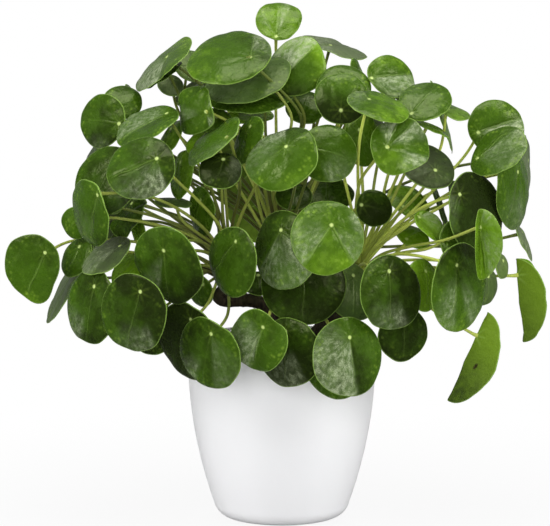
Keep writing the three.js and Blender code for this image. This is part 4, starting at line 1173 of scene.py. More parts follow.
# %% From paths to stalks
def chains_object(name, paths, tones):
    """Chains of points joined by edges, with the place along each and its tone."""
    points = np.concatenate(paths) * MM
    edges, start = [], 0
    along, tone = [], []
    for path, value in zip(paths, tones):
        edges += [(start + k, start + k + 1) for k in range(len(path) - 1)]
        steps = np.concatenate([[0], np.cumsum(np.linalg.norm(np.diff(path, axis=0), axis=1))])
        along += list(steps / steps[-1])
        tone += [value] * len(path)
        start += len(path)
    mesh = bpy.data.meshes.new(name)
    mesh.from_pydata(points.tolist(), edges, [])
    for label, values in (("along", along), ("tone", tone)):
        mesh.attributes.new(label, "FLOAT", "POINT").data.foreach_set("value", values)
    chains = bpy.data.objects.new(name, mesh)
    bpy.context.scene.collection.objects.link(chains)
    return chains


def make_stalks(name, paths, tones, material, slot, node, **sizes):
    """One piece of rods along paths. sizes: the recipe's inputs, where they aren't the plain ones."""
    values = {"Smoothness": 12, "Foot Flare": 0.0, "End Flare": 0.0, "Knots": 0.0, "Knot Height": 0.0,
              "Roughness": 0.0, "Grain": 1.0, "Material": material}
    values.update({key.replace("_", " ").title(): value for key, value in sizes.items()})
    piece = follow_recipe(name, chains_object(name + "_path", paths, tones), stalk_recipe, values)
    return finish_piece(piece, None, slot, node)


# %% [markdown]
# ## Woody stems
# An old money plant stands on brown stems as thick as a finger, ringed with the scars of fallen
# leaves. They lean apart as they leave the soil. The recipe's knots make the rings, and its grain
# makes them uneven.

# %% Bark
BARK_DARK = (0.012, 0.008, 0.005)
BARK_PALE = (0.062, 0.042, 0.024)
BARK_MOSS = (0.050, 0.045, 0.020)

bark, tree, shader = new_material("bark", 0.85)
place = object_place(tree)
upright = add_node(tree, "ShaderNodeMapping", {"Vector": place, "Scale": (1, 1, 0.3)})
streaks = noise(tree, upright.outputs[0], 420.0, 5.0, 0.6)
patches = noise(tree, place, 60.0)
colour = mix_colours(tree, between(tree, streaks, 0.35, 0.72), BARK_DARK, BARK_PALE)
colour = mix_colours(tree, between(tree, patches, 0.45, 0.65, 0.0, 0.6), colour, BARK_MOSS)
link_shader(tree, shader, colour, between(tree, patches, 0.3, 0.7, 0.75, 0.95), streaks, 0.0008)

# %% Grow the woody stems
TRUNK_DEPTH = 45.0
TRUNK_RADIUS = 7.5
TRUNK_TIP_RADIUS = 6.6
TRUNK_RISE = 4  # how far above the soil's level it stays upright
STRAIGHT_TIP = 9  # it comes to its joint straight over this length,
JOINT_LAP = 1.5  # and runs this far into the green shoot


def trunk_path(plant):
    """From under the soil by way of the knee to the joint."""
    part = PLANTS[plant]
    joint, tip = np.array(part["joint"], float), np.array(part["tip"], float)
    way = unit(tip - joint)
    root = part["root"]
    return np.array([(*root, SOIL_TOP - TRUNK_DEPTH), (*root, SOIL_TOP + TRUNK_RISE), part["knee"],
                     joint - way * STRAIGHT_TIP, joint + way * JOINT_LAP], float)


for plant in PLANTS:
    make_stalks(f"stem_{plant}", [trunk_path(plant)], [0.5], bark, "bark", f"trunk_{plant}", step=0.0016,
                sides=28, foot_radius=TRUNK_RADIUS * MM, end_radius=TRUNK_TIP_RADIUS * MM, knots=26.0,
                knot_height=0.9 * MM, roughness=1.8 * MM, grain=230.0)

# %% [markdown]
# ## Petioles and shoots
# The stalks of the leaves are smooth, round and yellow-green, browner towards their foot, and a
# little wider where they meet the stem and the blade. They leave a green shoot that carries on
# from each woody stem.

# %% Green stalk skin
STALK_GREEN = (0.050, 0.080, 0.012)
STALK_PALE = (0.600, 0.700, 0.120)
STALK_BROWN = (0.075, 0.062, 0.018)

stalk_skin, tree, shader = new_material("stalk_skin", 0.42)
place = object_place(tree)
along = carried(tree, "along")
tone = carried(tree, "tone")
clouds = noise(tree, place, 45.0)
fibres = noise(tree, place, 700.0)
pale = calc(tree, "MULTIPLY_ADD", clouds, 0.25, times(tree, tone, 0.8))
colour = mix_colours(tree, pale, STALK_GREEN, STALK_PALE)
near_foot = between(tree, plus(tree, along, times(tree, clouds, 0.3)), 0.15, 0.75, 1.0, 0.0)
browning = times(tree, near_foot, between(tree, tone, 0.5, 0.1))
colour = mix_colours(tree, browning, colour, STALK_BROWN)
link_shader(tree, shader, colour, between(tree, fibres, 0.2, 0.8, 0.34, 0.5), fibres, 0.00008)

# %% Grow the petioles and shoots
PETIOLE_RADIUS = 1.4
END_DEPTH = 1.2  # how far below the blade's top a petiole ends
STALK_SEED = 5
# From the darkest stalks of a plant to its palest, on the way from stalk green to stalk pale. The
# ranges hold painted shade and painted light: the stalks of the back, left and top plants, deep in
# the crown, are painted dark, and those of the right plant are painted pale.
STALK_TONES = {"left": (0.0, 0.55), "top": (0.0, 0.75), "right": (0.4, 1.1), "front": (0.2, 0.9),
               "back": (0.0, 0.12)}
PAINTED_SHADOW_STALK = 1  # painted shadow: the petiole of the leaf that lies close over another, darkest of all


def petiole_path(i):
    """A petiole's route, drawn on into the thickness of its blade."""
    path = routes[i].copy()
    path[-1] -= leaf["face"][i] * END_DEPTH
    return path


tone_draw = np.random.default_rng(STALK_SEED)
petiole_tones = np.array([tone_draw.uniform(*STALK_TONES[plant]) for plant in leaf_plants])
# Painted shadow on the petiole that runs between two blades.
petiole_tones[PAINTED_SHADOW_STALK] = 0.0
for plant in PLANTS:
    own = np.flatnonzero(leaf_plants == plant)
    make_stalks(f"petioles_{plant}", [petiole_path(i) for i in own], petiole_tones[own], stalk_skin, "leaf",
                f"crown_{plant}", step=0.0045, sides=12, foot_radius=(PETIOLE_RADIUS + 0.25) * MM,
                end_radius=PETIOLE_RADIUS * MM, foot_flare=1.3 * MM, end_flare=0.9 * MM)
    joint, tip = (np.array(PLANTS[plant][key], float) for key in ("joint", "tip"))
    shoot_path = [joint + (tip - joint) * share for share in (0, 0.25, 0.5, 0.75, 1)]
    make_stalks(f"shoot_{plant}", [np.array(shoot_path)], [0.2], stalk_skin, "leaf", f"crown_{plant}",
                step=0.0016, sides=28, foot_radius=(SHOOT_RADIUS - 0.4) * MM,
                end_radius=(SHOOT_TIP_RADIUS - 1.5) * MM, knots=14.0, knot_height=0.7 * MM,
                roughness=1.0 * MM, grain=160.0)

# %% [markdown]
# ## Leaf skin
# The look of the plant is the look of this one material. A blade is deep green and glossy above,
# paler and duller beneath. It has a pale dot where its stalk joins, a few veins that run out from
# the dot, fine puckers between them, pale specks towards the edge, and a thin light line round the
# rim, which is the margin's paler green with a painted highlight of the edge. These are drawn from
# three numbers that each point of the mesh carries: how far it lies along and across the blade from
# the dot, and how far in from the rim. A second set carries what differs from leaf to leaf, painted
# light and shade among it: painted sheens where a blade faces the light, and painted shade across
# some blades.

# %% Leaf skin
LEAF_DARK = (0.0125, 0.0215, 0.0035)
LEAF_MID = (0.0400, 0.0930, 0.0045)
LEAF_BRIGHT = (0.1250, 0.2500, 0.0090)
LEAF_PAINTED_SHEEN = (0.3600, 0.4200, 0.2550)  # painted sheen: the pale cast of a part that faces the light
LEAF_UNDER_DARK = (0.0300, 0.0520, 0.0090)
LEAF_UNDER_BRIGHT = (0.1300, 0.2300, 0.0110)
BLOOM_AND_REFLECTION_GREY = (0.1000, 0.1250, 0.0650)  # the dull grey of a wilted leaf, and on most a painted grey reflection of the pale room
# Pale green of the rim and of the veins beneath, and the painted highlight of the rim and creases.
RIM_GREEN_AND_HIGHLIGHT = (0.2300, 0.3700, 0.0700)
SPECK_GREEN = (0.2300, 0.3700, 0.0350)
DOT_GREEN = (0.4600, 0.5800, 0.1900)
SCAR_BROWN = (0.0250, 0.0180, 0.0060)
VEIN_SPACING = math.radians(46)
CREASE_HALF_WIDTH = 1.7  # in mm
LEAF_SHINE = 0.42
LEAF_SHINE_TINT = (0.90, 1.0, 0.50)


def vein_distance(tree, reach, turn):
    """How far a place is from the nearest of the veins that radiate from the dot, in mm."""
    lane = calc(tree, "PINGPONG", calc(tree, "DIVIDE", turn, VEIN_SPACING), 0.5)
    return times(tree, lane, VEIN_SPACING, reach)


def crease_line(tree, reach, turn, crease):
    """1 on the crease that leaves the dot at an angle, 0 away from it."""
    off_turn = calc(tree, "SUBTRACT", turn, crease)
    off = times(tree, reach, calc(tree, "ABSOLUTE", calc(tree, "SINE", off_turn)))
    ahead = calc(tree, "GREATER_THAN", calc(tree, "COSINE", off_turn), 0.0)
    return times(tree, between(tree, off, 0.2, CREASE_HALF_WIDTH, 1.0, 0.0), ahead)


def place_of(tree, x, y, z):
    """Three numbers as a place for a texture."""
    return add_node(tree, "ShaderNodeCombineXYZ", {"X": x, "Y": y, "Z": z}).outputs[0]


leaf_skin, tree, shader = new_material("leaf_skin", 0.38)
shader.inputs["Specular Tint"].default_value = (*LEAF_SHINE_TINT, 1)
along, across, from_rim = split(tree, carried(tree, "blade_place", "Vector"))
tone, bloom_and_reflection, number = split(tree, carried(tree, "blade_kind", "Vector"))
first, second, depth = split(tree, carried(tree, "blade_creases", "Vector"))
under = carried(tree, "underside")
tree.links.new(between(tree, tone, 0.0, 0.45, 0.18, LEAF_SHINE), shader.inputs["Specular IOR Level"])

# Cloudy patterns from broad to fine, in mm on the blade. number gives each leaf its own.
spot = place_of(tree, along, across, times(tree, number, 50.0))
clouds = noise(tree, spot, 0.055)
mottle = noise(tree, spot, 0.15, 2.0)
puckers = noise(tree, spot, 0.24, 2.0)
crackle = noise(tree, spot, 1.1, 3.0, 0.6)

# Veins and creases, by their reach from the dot and the angle about it.
wander = sway(tree, clouds, 0.35)
reach = calc(tree, "SQRT", calc(tree, "MULTIPLY_ADD", along, along, times(tree, across, across)))
turn = calc(tree, "ARCTAN2", across, along)
off_vein = vein_distance(tree, reach, plus(tree, turn, wander))
vein = times(tree, between(tree, off_vein, 0.2, 1.8, 1.0, 0.0), between(tree, reach, 3.0, 16.0, 1.0, 0.0))
bent = plus(tree, turn, times(tree, wander, 0.5))
crease = calc(tree, "MAXIMUM", crease_line(tree, reach, bent, first),
              crease_line(tree, reach, bent, second))
crease = times(tree, crease, depth,
               times(tree, between(tree, reach, 1.5, 5.0), between(tree, from_rim, 1.0, 14.0)))

# The upper side: green by its tone, which holds painted shade, specks, bloom with its painted grey
# reflection, a painted sheen where it faces the light, and a painted highlight along the creases.
shade = plus(tree, tone, sway(tree, clouds, 0.60), sway(tree, mottle, 0.26))
above = mix_colours(tree, between(tree, shade, 0.0, 0.5), LEAF_DARK, LEAF_MID)
above = mix_colours(tree, between(tree, shade, 0.5, 1.0), above, LEAF_BRIGHT)
above = mix_colours(tree, times(tree, vein, 0.08), above, SPECK_GREEN)
specks = add_node(tree, "ShaderNodeTexVoronoi", {"Vector": spot, "Scale": 0.21, "Randomness": 1.0})
specky = times(tree, between(tree, clouds, 0.40, 0.60), between(tree, from_rim, 20.0, 4.0),
               between(tree, from_rim, 1.0, 3.5), between(tree, tone, 0.0, 0.6, 0.25, 1.0))
speck = times(tree, between(tree, specks.outputs["Distance"], 0.08, 0.50, 1.0, 0.0),
              times(tree, specky, 0.50))
above = mix_colours(tree, speck, above, SPECK_GREEN)
# Bloom: the dull grey of a wilted leaf, and on most leaves a painted grey reflection.
above = mix_colours(tree, times(tree, bloom_and_reflection, 0.8), above, BLOOM_AND_REFLECTION_GREY)
streaks = noise(tree, place_of(tree, times(tree, reach, 0.12), times(tree, turn, 7.0), number), 1.0, 2.0)
leathery = times(tree, between(tree, crackle, 0.42, 0.58, 0.68, 1.12),
                 between(tree, puckers, 0.32, 0.60, 0.55, 1.0),
                 between(tree, streaks, 0.35, 0.65, 0.60, 1.15))
# A painted sheen where the blade faces the light, with a leathery grain in it.
painted_sheen = times(tree, leathery, carried(tree, "blade_painted_sheen"))
painted_sheen = times(tree, painted_sheen, between(tree, painted_sheen, 0.08, 0.50, 0.50, 1.25))
above = mix_colours(tree, painted_sheen, above, LEAF_PAINTED_SHEEN)
# A painted highlight along the creases.
painted_crease_highlight = times(tree, crease, between(tree, tone, 0.0, 0.7, 0.06, 0.26))
above = mix_colours(tree, painted_crease_highlight, above, RIM_GREEN_AND_HIGHLIGHT)

# The underside, and then what both sides share: the scar, the light rim with its painted highlight, and the
# dot.
below = mix_colours(tree, tone, LEAF_UNDER_DARK, LEAF_UNDER_BRIGHT)
below = mix_colours(tree, between(tree, mottle, 0.3, 0.7, 0.0, 0.3), below, LEAF_UNDER_BRIGHT)
below = mix_colours(tree, times(tree, vein, 0.4), below, RIM_GREEN_AND_HIGHLIGHT)
colour = mix_colours(tree, under, above, below)
scar = plus(tree, carried(tree, "blade_scar"), sway(tree, crackle, 0.9))
colour = mix_colours(tree, between(tree, scar, 0.55, 0.75), colour, SCAR_BROWN)
# The light rim: the margin's paler green with a painted highlight of the edge.
to_rim = plus(tree, from_rim, sway(tree, crackle, 1.6))
colour = mix_colours(tree, between(tree, to_rim, 0.25, 1.0, 0.75, 0.0), colour, RIM_GREEN_AND_HIGHLIGHT)
dot = between(tree, plus(tree, reach, mottle), 1.3, 3.1, 1.0, 0.0)
colour = mix_colours(tree, dot, colour, DOT_GREEN)

gloss = plus(tree, between(tree, mottle, 0.25, 0.75, 0.20, 0.33), times(tree, under, 0.16),
             times(tree, bloom_and_reflection, 0.15))
# Veins and creases stand up a little, and fine puckers and grain sink in.
height = plus(tree, times(tree, puckers, -1.0), times(tree, crackle, -0.07), times(tree, vein, 0.35),
              times(tree, crease, 1.6))
link_shader(tree, shader, colour, gloss, height, 0.0005)

# %% [markdown]
# ## What differs from leaf to leaf
# Young leaves are a bright yellow green and old ones nearly black, and tone holds painted shade and
# painted light as well: leaves that lie in shade are given a darker tone, and a few that fall in
# shadow in this scene a brighter one. bloom is a grey cast: the dull grey of a wilted leaf, and on
# most leaves that have it a painted reflection of the pale room at a grazing angle. tone runs from
# the darkest leaf at 0 to the brightest at 1, and bloom from none to dull. They stand in the same
# order as the rows of the near leaves. A few leaves have a look of their own, with painted light and
# shade across the blade and painted sheens among it.

# %% Tones
# Each tone is partly the leaf's own age and partly painted shade and painted light for how lit it is.
LEAF_TONES = {
    "top": [0.72, 0.48, 0.50, 0.62, 0.34, 0.50, 0.48, 0.42, 0.42, 0.32, 0.44, 0.24, 0.36, 0.58,
            0.90],
    "left": [0.45, 0.52, 0.02, 1.00, 0.26, 0.50, 0.60, 0.28, 0.26, 0.38, 0.50, 0.40, 0.38, 0.20,
             0.80, 0.20, 0.50, 0.36, 0.22, 0.14, 0.24, 1.00, 0.34, 0.28, 0.00, 0.08, 0.50, 0.70,
             0.60, 0.45],
    "back": [0.60, 0.70, 0.52, 0.25, 0.60, 0.40, 0.50, 0.60, 0.60, 0.25],
    "front": [0.34, 0.62, 0.12, 0.40, 0.38, 0.08, 0.36, 0.46, 0.06, 0.15],
    "right": [0.22, 0.55, 0.46, 0.75, 0.80, 1.00, 0.64, 0.54, 0.18, 1.00, 0.11, 0.37,
              0.03, 0.35, 0.90, 0.50, 0.56, 0.50, 0.64, 0.56, 0.75, 0.34, 1.00, 0.08,
              0.70, 1.00],
}
# The dull grey of a wilted leaf and, on most leaves here, a painted grey reflection of the pale room.
BLOOMS_AND_GREY_REFLECTIONS = {
    "top": {2: 0.30},
    "left": {11: 0.7, 15: 0.4, 16: 0.6, 26: 0.4},
    "back": {0: 0.9, 1: 0.6, 2: 0.2, 4: 0.8, 6: 0.8, 7: 0.7, 8: 0.6},
    "front": {3: 0.4},
    "right": {3: 0.2, 5: 0.3, 20: 0.7, 21: 0.5, 23: 0.28},
}
# Painted light and shade across a blade: which way it grows brighter, clockwise from straight up in
# the view, and by how much.
PAINTED_LIGHT_SLOPES = {
    "top": {1: (250, 0.20), 3: (30, 0.55), 7: (170, 0.22), 8: (90, 0.10), 9: (270, 0.1)},
    "left": {4: (310, 0.15), 5: (180, 0.08), 7: (290, 0.15), 8: (250, 0.10), 9: (320, 0.12),
             12: (180, 0.22), 15: (210, 0.20), 18: (280, 0.12), 19: (235, 0.20), 20: (310, 0.15),
             22: (220, 0.10), 23: (120, 0.12)},
    "back": {2: (30, 0.20), 5: (200, 0.10)},
    "front": {0: (160, 0.20), 1: (180, 0.15), 2: (270, 0.12), 4: (90, 0.10), 5: (30, 0.15),
              6: (80, 0.10)},
    "right": {0: (0, 0.35), 1: (30, 0.22), 6: (80, 0.15), 7: (190, 0.22), 8: (250, 0.14),
              11: (190, 0.34), 12: (225, 0.26), 15: (20, 0.12), 17: (80, 0.08), 18: (60, 0.80),
              19: (50, 0.90)},
}
# Painted sheens, pale parts painted where a blade faces the light: where the part begins, clockwise
# about the dot in the view; how far it runs from there, as it fades; how pale it is; and how far
# out from the dot it begins.
PAINTED_SHEENS = {
    "top": {0: [(26, -26, 0.50, 0.2), (334, -24, 0.45, 0.2)], 1: [(8, 100, 0.50, 0.1)],
            2: [(300, -110, 0.40, 0.1)], 3: [(45, -180, 0.70, 0)], 7: [(0, -140, 0.60, 0.15)],
            8: [(155, -60, 0.40, 0.5), (300, 50, 0.2, 0.4)],
            10: [(20, 40, 0.6, 0.1), (165, -60, 0.7, 0.1), (250, 40, 0.4, 0.3)]},
    "left": {1: [(170, 75, 0.40, 0.1)], 2: [(95, 70, 0.3, 0.3)], 4: [(205, 45, 0.35, 0.7)],
             5: [(240, 120, 0.40, 0)], 7: [(160, 85, 0.55, 0.12)], 8: [(150, 40, 0.2, 0.6)],
             9: [(190, 50, 0.15, 0.7)], 13: [(20, 60, 0.45, 0)], 15: [(225, 110, 0.35, 0)],
             18: [(195, 40, 0.40, 0.8)], 19: [(165, 50, 0.35, 0.8)], 20: [(186, 40, 0.30, 0.1)],
             22: [(320, 60, 0.15, 0.5)], 23: [(177, -50, 0.25, 0), (200, 30, 0.40, 0.8)],
             24: [(150, 40, 0.2, 0.6)]},
    "back": {0: [(270, 180, 0.45, 0), (270, -180, 0.45, 0)], 2: [(195, 80, 0.60, 0)],
             3: [(60, 40, 0.3, 0)], 5: [(265, 50, 0.45, 0.1)],
             7: [(180, 180, 0.35, 0), (180, -180, 0.35, 0)],
             8: [(180, 180, 0.35, 0), (180, -180, 0.35, 0)]},
    "front": {0: [(128, 55, 0.60, 0.1), (208, -55, 0.45, 0.1)],
              1: [(214, 75, 0.44, 0.1), (150, -45, 0.40, 0.1), (62, 55, 0.75, 0.45)],
              2: [(340, -50, 0.25, 0.1)], 4: [(196, 110, 0.50, 0.1)], 5: [(158, 70, 0.35, 0.5)],
              6: [(173, 150, 0.58, 0)], 7: [(60, 60, 0.35, 0.1)]},
    "right": {1: [(84, 70, 0.60, 0)], 2: [(28, -110, 0.20, 0)], 6: [(330, -110, 0.45, 0)],
              7: [(22, -48, 0.85, 0.1), (48, 34, 0.65, 0.1), (104, 50, 0.60, 0.45)],
              8: [(160, 50, 0.40, 0.8)], 11: [(182, 30, 0.45, 0.3), (168, -26, 0.40, 0.4)],
              12: [(262, -80, 0.35, 0)], 14: [(8, 90, 0.50, 0), (172, -70, 0.40, 0)],
              15: [(72, 50, 0.70, 0)], 16: [(52, 90, 0.40, 0)], 17: [(170, 40, 0.30, 0.5)],
              22: [(60, 80, 0.70, 0)], 23: [(250, 80, 0.20, 0)]},
}
# Which ways other creases run from the dot, clockwise in the view.
LEAF_CREASES = {
    "top": {9: [200]},
    "left": {7: [246], 9: [190], 12: [205], 18: [190], 19: [195], 20: [176], 22: [215]},
    "front": {4: [205], 5: [180], 2: [180]},
    "right": {0: [190], 7: [40, 100], 8: [178], 10: [180], 11: [185], 12: [200], 17: [190]},
}
LEAF_SCARS = {"right": {19: (5.5, -8)}}  # mm across and up in the view from the middle
SCAR_SIZE = 4.5
CREASE_DEPTH = 1.0
FAINT_CREASE = 0.4  # the midrib of a leaf without one
# Where an outline is drawn in: which way from the middle, clockwise in the view, how deep as a
# share of the blade's size, and how wide in degrees. Below zero it bulges.
LEAF_NOTCHES = {
    "top": {7: (352, 0.05, 18), 10: (60, 0.06, 20)},
    "left": {12: (60, -0.04, 25), 20: (165, -0.05, 22), 19: (20, 0.04, 30)},
    "front": {4: (38, 0.13, 20), 1: (330, -0.03, 30), 0: (40, 0.05, 25)},
    "right": {7: (52, 0.09, 16), 10: (190, -0.06, 22), 11: (195, -0.05, 20), 1: (75, -0.04, 20)},
}
# How crinkled a leaf is, against 1 for the others.
LEAF_CRINKLES = {"top": {0: 1.6, 10: 2.4}, "left": {13: 3.0}, "front": {4: 1.4}, "right": {7: 2.2}}
# How the painted sheens are drawn, and the painted shade beside them.
SHEEN_EDGE = math.radians(6)  # how softly a pale part begins
SHEEN_START = 0.3  # over what share of the radius it begins, out from the dot
SHEEN_FADE = 0.6
PAINTED_SHADE_BESIDE = 0.35  # painted shade: how much darker the blade is beside a painted sheen,
PAINTED_SHADE_SPAN = math.radians(38)  # and how far from it
CREASE_FROM = 0.38  # a pale part at least this pale begins at a crease,
CREASE_NEAR = 0.1  # if it begins at least this near the dot
FAR_TONES = (0.0, 0.38)  # the far leaves draw theirs from this low range, painted shade for the far side
KIND_SEED = 11

# The plant and the row of each near leaf. They come before the far leaves in all_leaves.
near_rows = [(plant, row) for plant, rows in NEAR_LEAVES.items() for row in range(len(rows))]
leaf_tones = np.random.default_rng(KIND_SEED).uniform(*FAR_TONES, len(all_leaves))
leaf_tones[:len(near_rows)] = [LEAF_TONES[plant][row] for plant, row in near_rows]
print("tones from", leaf_tones.min(), "to", leaf_tones.max())


def look_of(i, looks, nothing):
    """What a table of looks says of a leaf, which is nothing for the far leaves and most others."""
    plant, row = near_rows[i] if i < len(near_rows) else (None, None)
    return looks.get(plant, {}).get(row, nothing)


def blade_way(i, clock):
    """Which way on a blade, as its length and its width count it, a way in the view leads."""
    axes = [[leaf[axis][i] @ way for axis in ("tip", "side")] for way in (RIGHT, UP)]
    return np.linalg.solve(axes, [math.sin(math.radians(clock)), math.cos(math.radians(clock))])


def about(angle, start):
    """How far an angle is past another, from half a turn before it to half a turn after."""
    return (angle - start + math.pi) % (2 * math.pi) - math.pi


def crease_angles(i):
    """The angles of a blade's creases about its dot."""
    clocks = [start for start, _, amount, begin in look_of(i, PAINTED_SHEENS, [])
              if amount >= CREASE_FROM and begin <= CREASE_NEAR]
    ways = [blade_way(i, clock) for clock in clocks + look_of(i, LEAF_CREASES, [])]
    return [math.atan2(across, along) for along, across in ways]


def notch_of(i):
    """The angle, depth and width of a blade's notch."""
    clock, depth, width = look_of(i, LEAF_NOTCHES, (0, 0, 1))
    along, across = blade_way(i, clock)
    angle = math.atan2(across / leaf["half_width"][i], along / leaf["radius"][i])
    return angle, depth, math.radians(width)


def painted_light_of_places(i, points):
    """The painted light and shade of each point of a blade: how much brighter it is painted than its
    middle, and how pale its painted sheen is.
    """
    clock, amount = look_of(i, PAINTED_LIGHT_SLOPES, (0, 0))
    brighter = amount * ((points - leaf["middle"][i]) @ in_view(clock)) / leaf["radius"][i]
    from_dot = points - seats[i]
    turn = np.arctan2(from_dot @ RIGHT, from_dot @ UP)
    out = np.linalg.norm(from_dot, axis=1) / leaf["radius"][i]
    pale = np.zeros(len(points))
    for start, span, amount, begin in look_of(i, PAINTED_SHEENS, []):
        off = about((turn - math.radians(start)) * np.sign(span), 0)
        reach = np.clip((out - begin) / SHEEN_START, 0, 1)
        fade = np.clip(1 - off / math.radians(abs(span)), 0, 1) ** SHEEN_FADE
        edge = np.clip(off / SHEEN_EDGE + 0.5, 0, 1)
        pale = np.maximum(pale, amount * reach * fade * edge)
        # Painted shade on the blade beside a sheen that begins at a crease.
        if begin == 0:
            beside = np.clip(1 + off / PAINTED_SHADE_SPAN, 0, 1) * (1 - edge)
            brighter = brighter - PAINTED_SHADE_BESIDE * amount * reach * beside
    return brighter, pale


def scar_of_places(i, points):
    """How near each point of a blade is to its scar, from 1 at the scar to 0."""
    across, up = look_of(i, LEAF_SCARS, (math.inf, math.inf))
    off = points - leaf["middle"][i]
    return np.exp(-np.hypot(off @ RIGHT - across, off @ UP - up) ** 2 / SCAR_SIZE ** 2)


# %% [markdown]
# ## Blades
# Each blade is a thin closed cushion: rings of points round the dot, out over the top, round the
# edge and back beneath. It keeps the disc, the cup, the waves and the fold of the CAD blade, and
# adds what only a fine mesh can hold: an outline that is never quite an ellipse, a rounded crease,
# valleys along the main veins, a dimple at the dot, soft puckers, and an edge that curls down.

# %% The fine shape of a blade
RIM_STEPS = 72
RING_SHARES = np.array([0.05, 0.12, 0.20, 0.30, 0.41, 0.53, 0.65, 0.76, 0.86, 0.94, 0.985])
OUTLINE_WAVES = {2: 0.012, 3: 0.012, 4: 0.009, 5: 0.007, 7: 0.004, 11: 0.0025}  # count: depth
BLADE_MIDDLE = 0.8  # thickness at the dot,
BLADE_EDGE = 0.45  # and at the rim
CREASE_WIDTH = 2.0
VEIN_ANGLES = (0.0, 0.80, -0.80)
VEIN_BEND = 0.25  # the share of its angle that a vein has lost at the rim
# Depth, how far from the dot it is reached, the share of the way to the rim where it ends, and width.
VEIN_VALLEY = (0.38, 8, 1.2, 2.8)
CREASE_VALLEY = (0.9, 6, 1.3, 2.2)
DIMPLE, DIMPLE_WIDTH = 0.45, 3.5
RIM_CURL, CURL_START = 0.9, 0.82
PUCKER = 0.30
PUCKER_LENGTHS = (34, 24, 17, 12)  # PUCKER is the height of those of middle length
BLADE_SEED = 100
BLADE_RINGS = 2 * len(RING_SHARES) + 1  # over the top, round the rim, and back beneath
BLADE_FACES = closed_faces(BLADE_RINGS, RIM_STEPS)
rim_angles = np.arange(RIM_STEPS) / RIM_STEPS * 2 * math.pi


def fine_place(one, draw, angle, share, notch):
    """Shares of the blade's length and width at an angle and share, with a natural outline."""
    reach = outline(angle, one["point"], one["point_angle"])
    for count, depth in OUTLINE_WAVES.items():
        reach = reach + depth * np.cos(count * angle + draw.uniform(0, 2 * math.pi))
    notch_angle, notch_depth, notch_width = notch
    off = about(angle, notch_angle)
    reach = reach - notch_depth * share ** 2 * np.exp(-(off / notch_width) ** 2)
    return on_disc(angle, share, reach, one["seat"])


def valley(reach, off, ahead, share, sizes):
    """How deep a valley that runs out from the dot is at places off its line."""
    depth, start, end, width = sizes
    depth = depth * ahead * np.clip(reach / start, 0, 1) * np.clip(end - share, 0, 1)
    return depth * np.exp(-(off / width) ** 2)


def fine_height(one, draw, u, v, share, crinkle, creases):
    """Height off the blade's plane, in mm, with the small forms added."""
    along, across = (u + one["seat"]) * one["radius"], v * one["half_width"]
    reach = np.hypot(along, across)
    angle = np.arctan2(across, along)
    height = blade_height(u, v, one["cup"], one["wave"], one["radius"])
    height += (np.sqrt(across ** 2 + CREASE_WIDTH ** 2) - CREASE_WIDTH) * math.sin(one["fold"])
    for vein in VEIN_ANGLES:
        off = reach * np.sin(angle - vein * (1 - VEIN_BEND * reach / one["radius"]))
        height -= valley(reach, off, np.cos(angle - vein) > 0, share, VEIN_VALLEY)
    for crease in creases:
        off = reach * np.sin(angle - crease)
        height -= valley(reach, off, np.cos(angle - crease) > 0, share, CREASE_VALLEY)
    height -= DIMPLE * np.exp(-(reach / DIMPLE_WIDTH) ** 2)
    height -= RIM_CURL * np.clip((share - CURL_START) / (1 - CURL_START), 0, 1) ** 2
    for length in PUCKER_LENGTHS:
        way = draw.uniform(0, 2 * math.pi)
        phase = (along * math.cos(way) + across * math.sin(way)) * 2 * math.pi / length
        swell = np.sin(phase + draw.uniform(0, 6)) * np.minimum(share * 2, 1)
        height += PUCKER * crinkle * length / 24 * swell
    return height


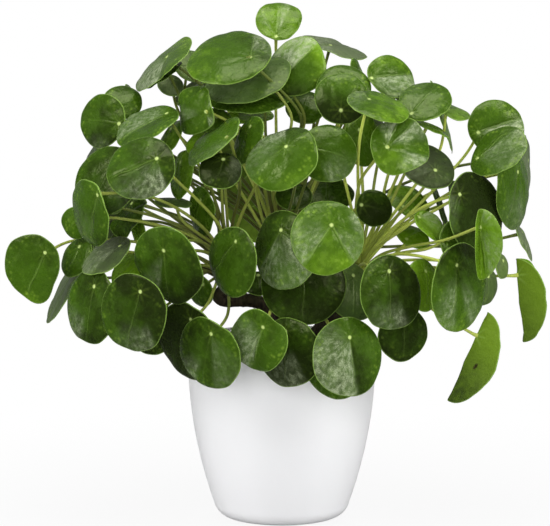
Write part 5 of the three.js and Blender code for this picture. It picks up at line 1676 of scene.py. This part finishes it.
def fine_blade(i):
    """A blade's points, and for each point its place on the blade and whether it is underneath."""
    one = {key: values[i] for key, values in leaf.items()}
    draw = np.random.default_rng(BLADE_SEED + i)
    angle, share = np.meshgrid(rim_angles, np.concatenate([[0.0], RING_SHARES, [1.0]]))
    u, v = fine_place(one, draw, angle, share, notch_of(i))
    crinkle = look_of(i, LEAF_CRINKLES, 1)
    height = fine_height(one, draw, u, v, share, crinkle, crease_angles(i))
    across = v * one["half_width"]
    top = in_space(one, u * one["radius"], across * math.cos(one["fold"]), height)
    thick = (BLADE_MIDDLE + (BLADE_EDGE - BLADE_MIDDLE) * share ** 2) / math.cos(one["fold"])
    down = one["face"] * thick[..., None]
    from_rim = (1 - share) * one["radius"] * (1 + one["seat"] * np.cos(angle))
    place = np.stack([(u + one["seat"]) * one["radius"], across, from_rim], axis=-1)
    rows = [top[1:-1], top[-1:] - down[-1:] / 2, (top - down)[-2:0:-1]]
    places = [place[1:-1], place[-1:], place[-2:0:-1]]
    points = np.concatenate([*(row.reshape(-1, 3) for row in rows), top[:1, 0], (top - down)[:1, 0]])
    place = np.concatenate([*(row.reshape(-1, 3) for row in places), place[:1, 0], place[:1, 0]])
    below = np.repeat(np.arange(BLADE_RINGS) > len(RING_SHARES), RIM_STEPS)
    return points, place, np.concatenate([below, [False, True]])


# %% Make the blades
def make_blades(plant):
    """The blades of one plant as one piece, with the numbers that their skin is drawn from."""
    points, faces = [], []
    numbers = {name: [] for name in ("blade_place", "blade_kind", "blade_creases", "underside",
                                     "blade_painted_sheen", "blade_scar")}
    for i in np.flatnonzero(leaf_plants == plant):
        start = sum(len(part) for part in points)
        faces += [tuple(start + k for k in face) for face in BLADE_FACES]
        blade, place, under = fine_blade(i)
        points.append(blade)
        # Painted light and shade across the blade, and its painted sheen.
        brighter, pale = painted_light_of_places(i, blade)
        kind = np.tile([leaf_tones[i], look_of(i, BLOOMS_AND_GREY_REFLECTIONS, 0), i], (len(blade), 1))
        # the tone carries the painted light and shade across the blade
        kind[:, 0] += brighter
        angles = crease_angles(i)
        marks = [*angles, *angles][:2] + [CREASE_DEPTH] if angles else [0, 0, FAINT_CREASE]
        values = (place, kind, np.tile(marks, (len(blade), 1)), under, pale, scar_of_places(i, blade))
        for name, value in zip(numbers, values):
            numbers[name].append(value)
    piece = mesh_object(f"blades_{plant}", np.concatenate(points), faces)
    for name, values in numbers.items():
        values = np.concatenate(values).astype(float)
        kind, key = ("FLOAT", "value") if values.ndim == 1 else ("FLOAT_VECTOR", "vector")
        piece.data.attributes.new(name, kind, "POINT").data.foreach_set(key, values.ravel())
    return finish_piece(piece, leaf_skin, "leaf", f"crown_{plant}")


for plant in PLANTS:
    make_blades(plant)

# %% [markdown]
# ## The last cell measures how far the dressed plant reaches past the box of its CAD frame.
# The dressed plant has to keep the size of its CAD frame.

# %% Compare the sizes and finish
seen_low, seen_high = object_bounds()
past = [(a - b) / MM for a, b in zip((*cad_low, *seen_high), (*seen_low, *cad_high))]
print("past the CAD box in mm:", [round(x, 1) for x in past])
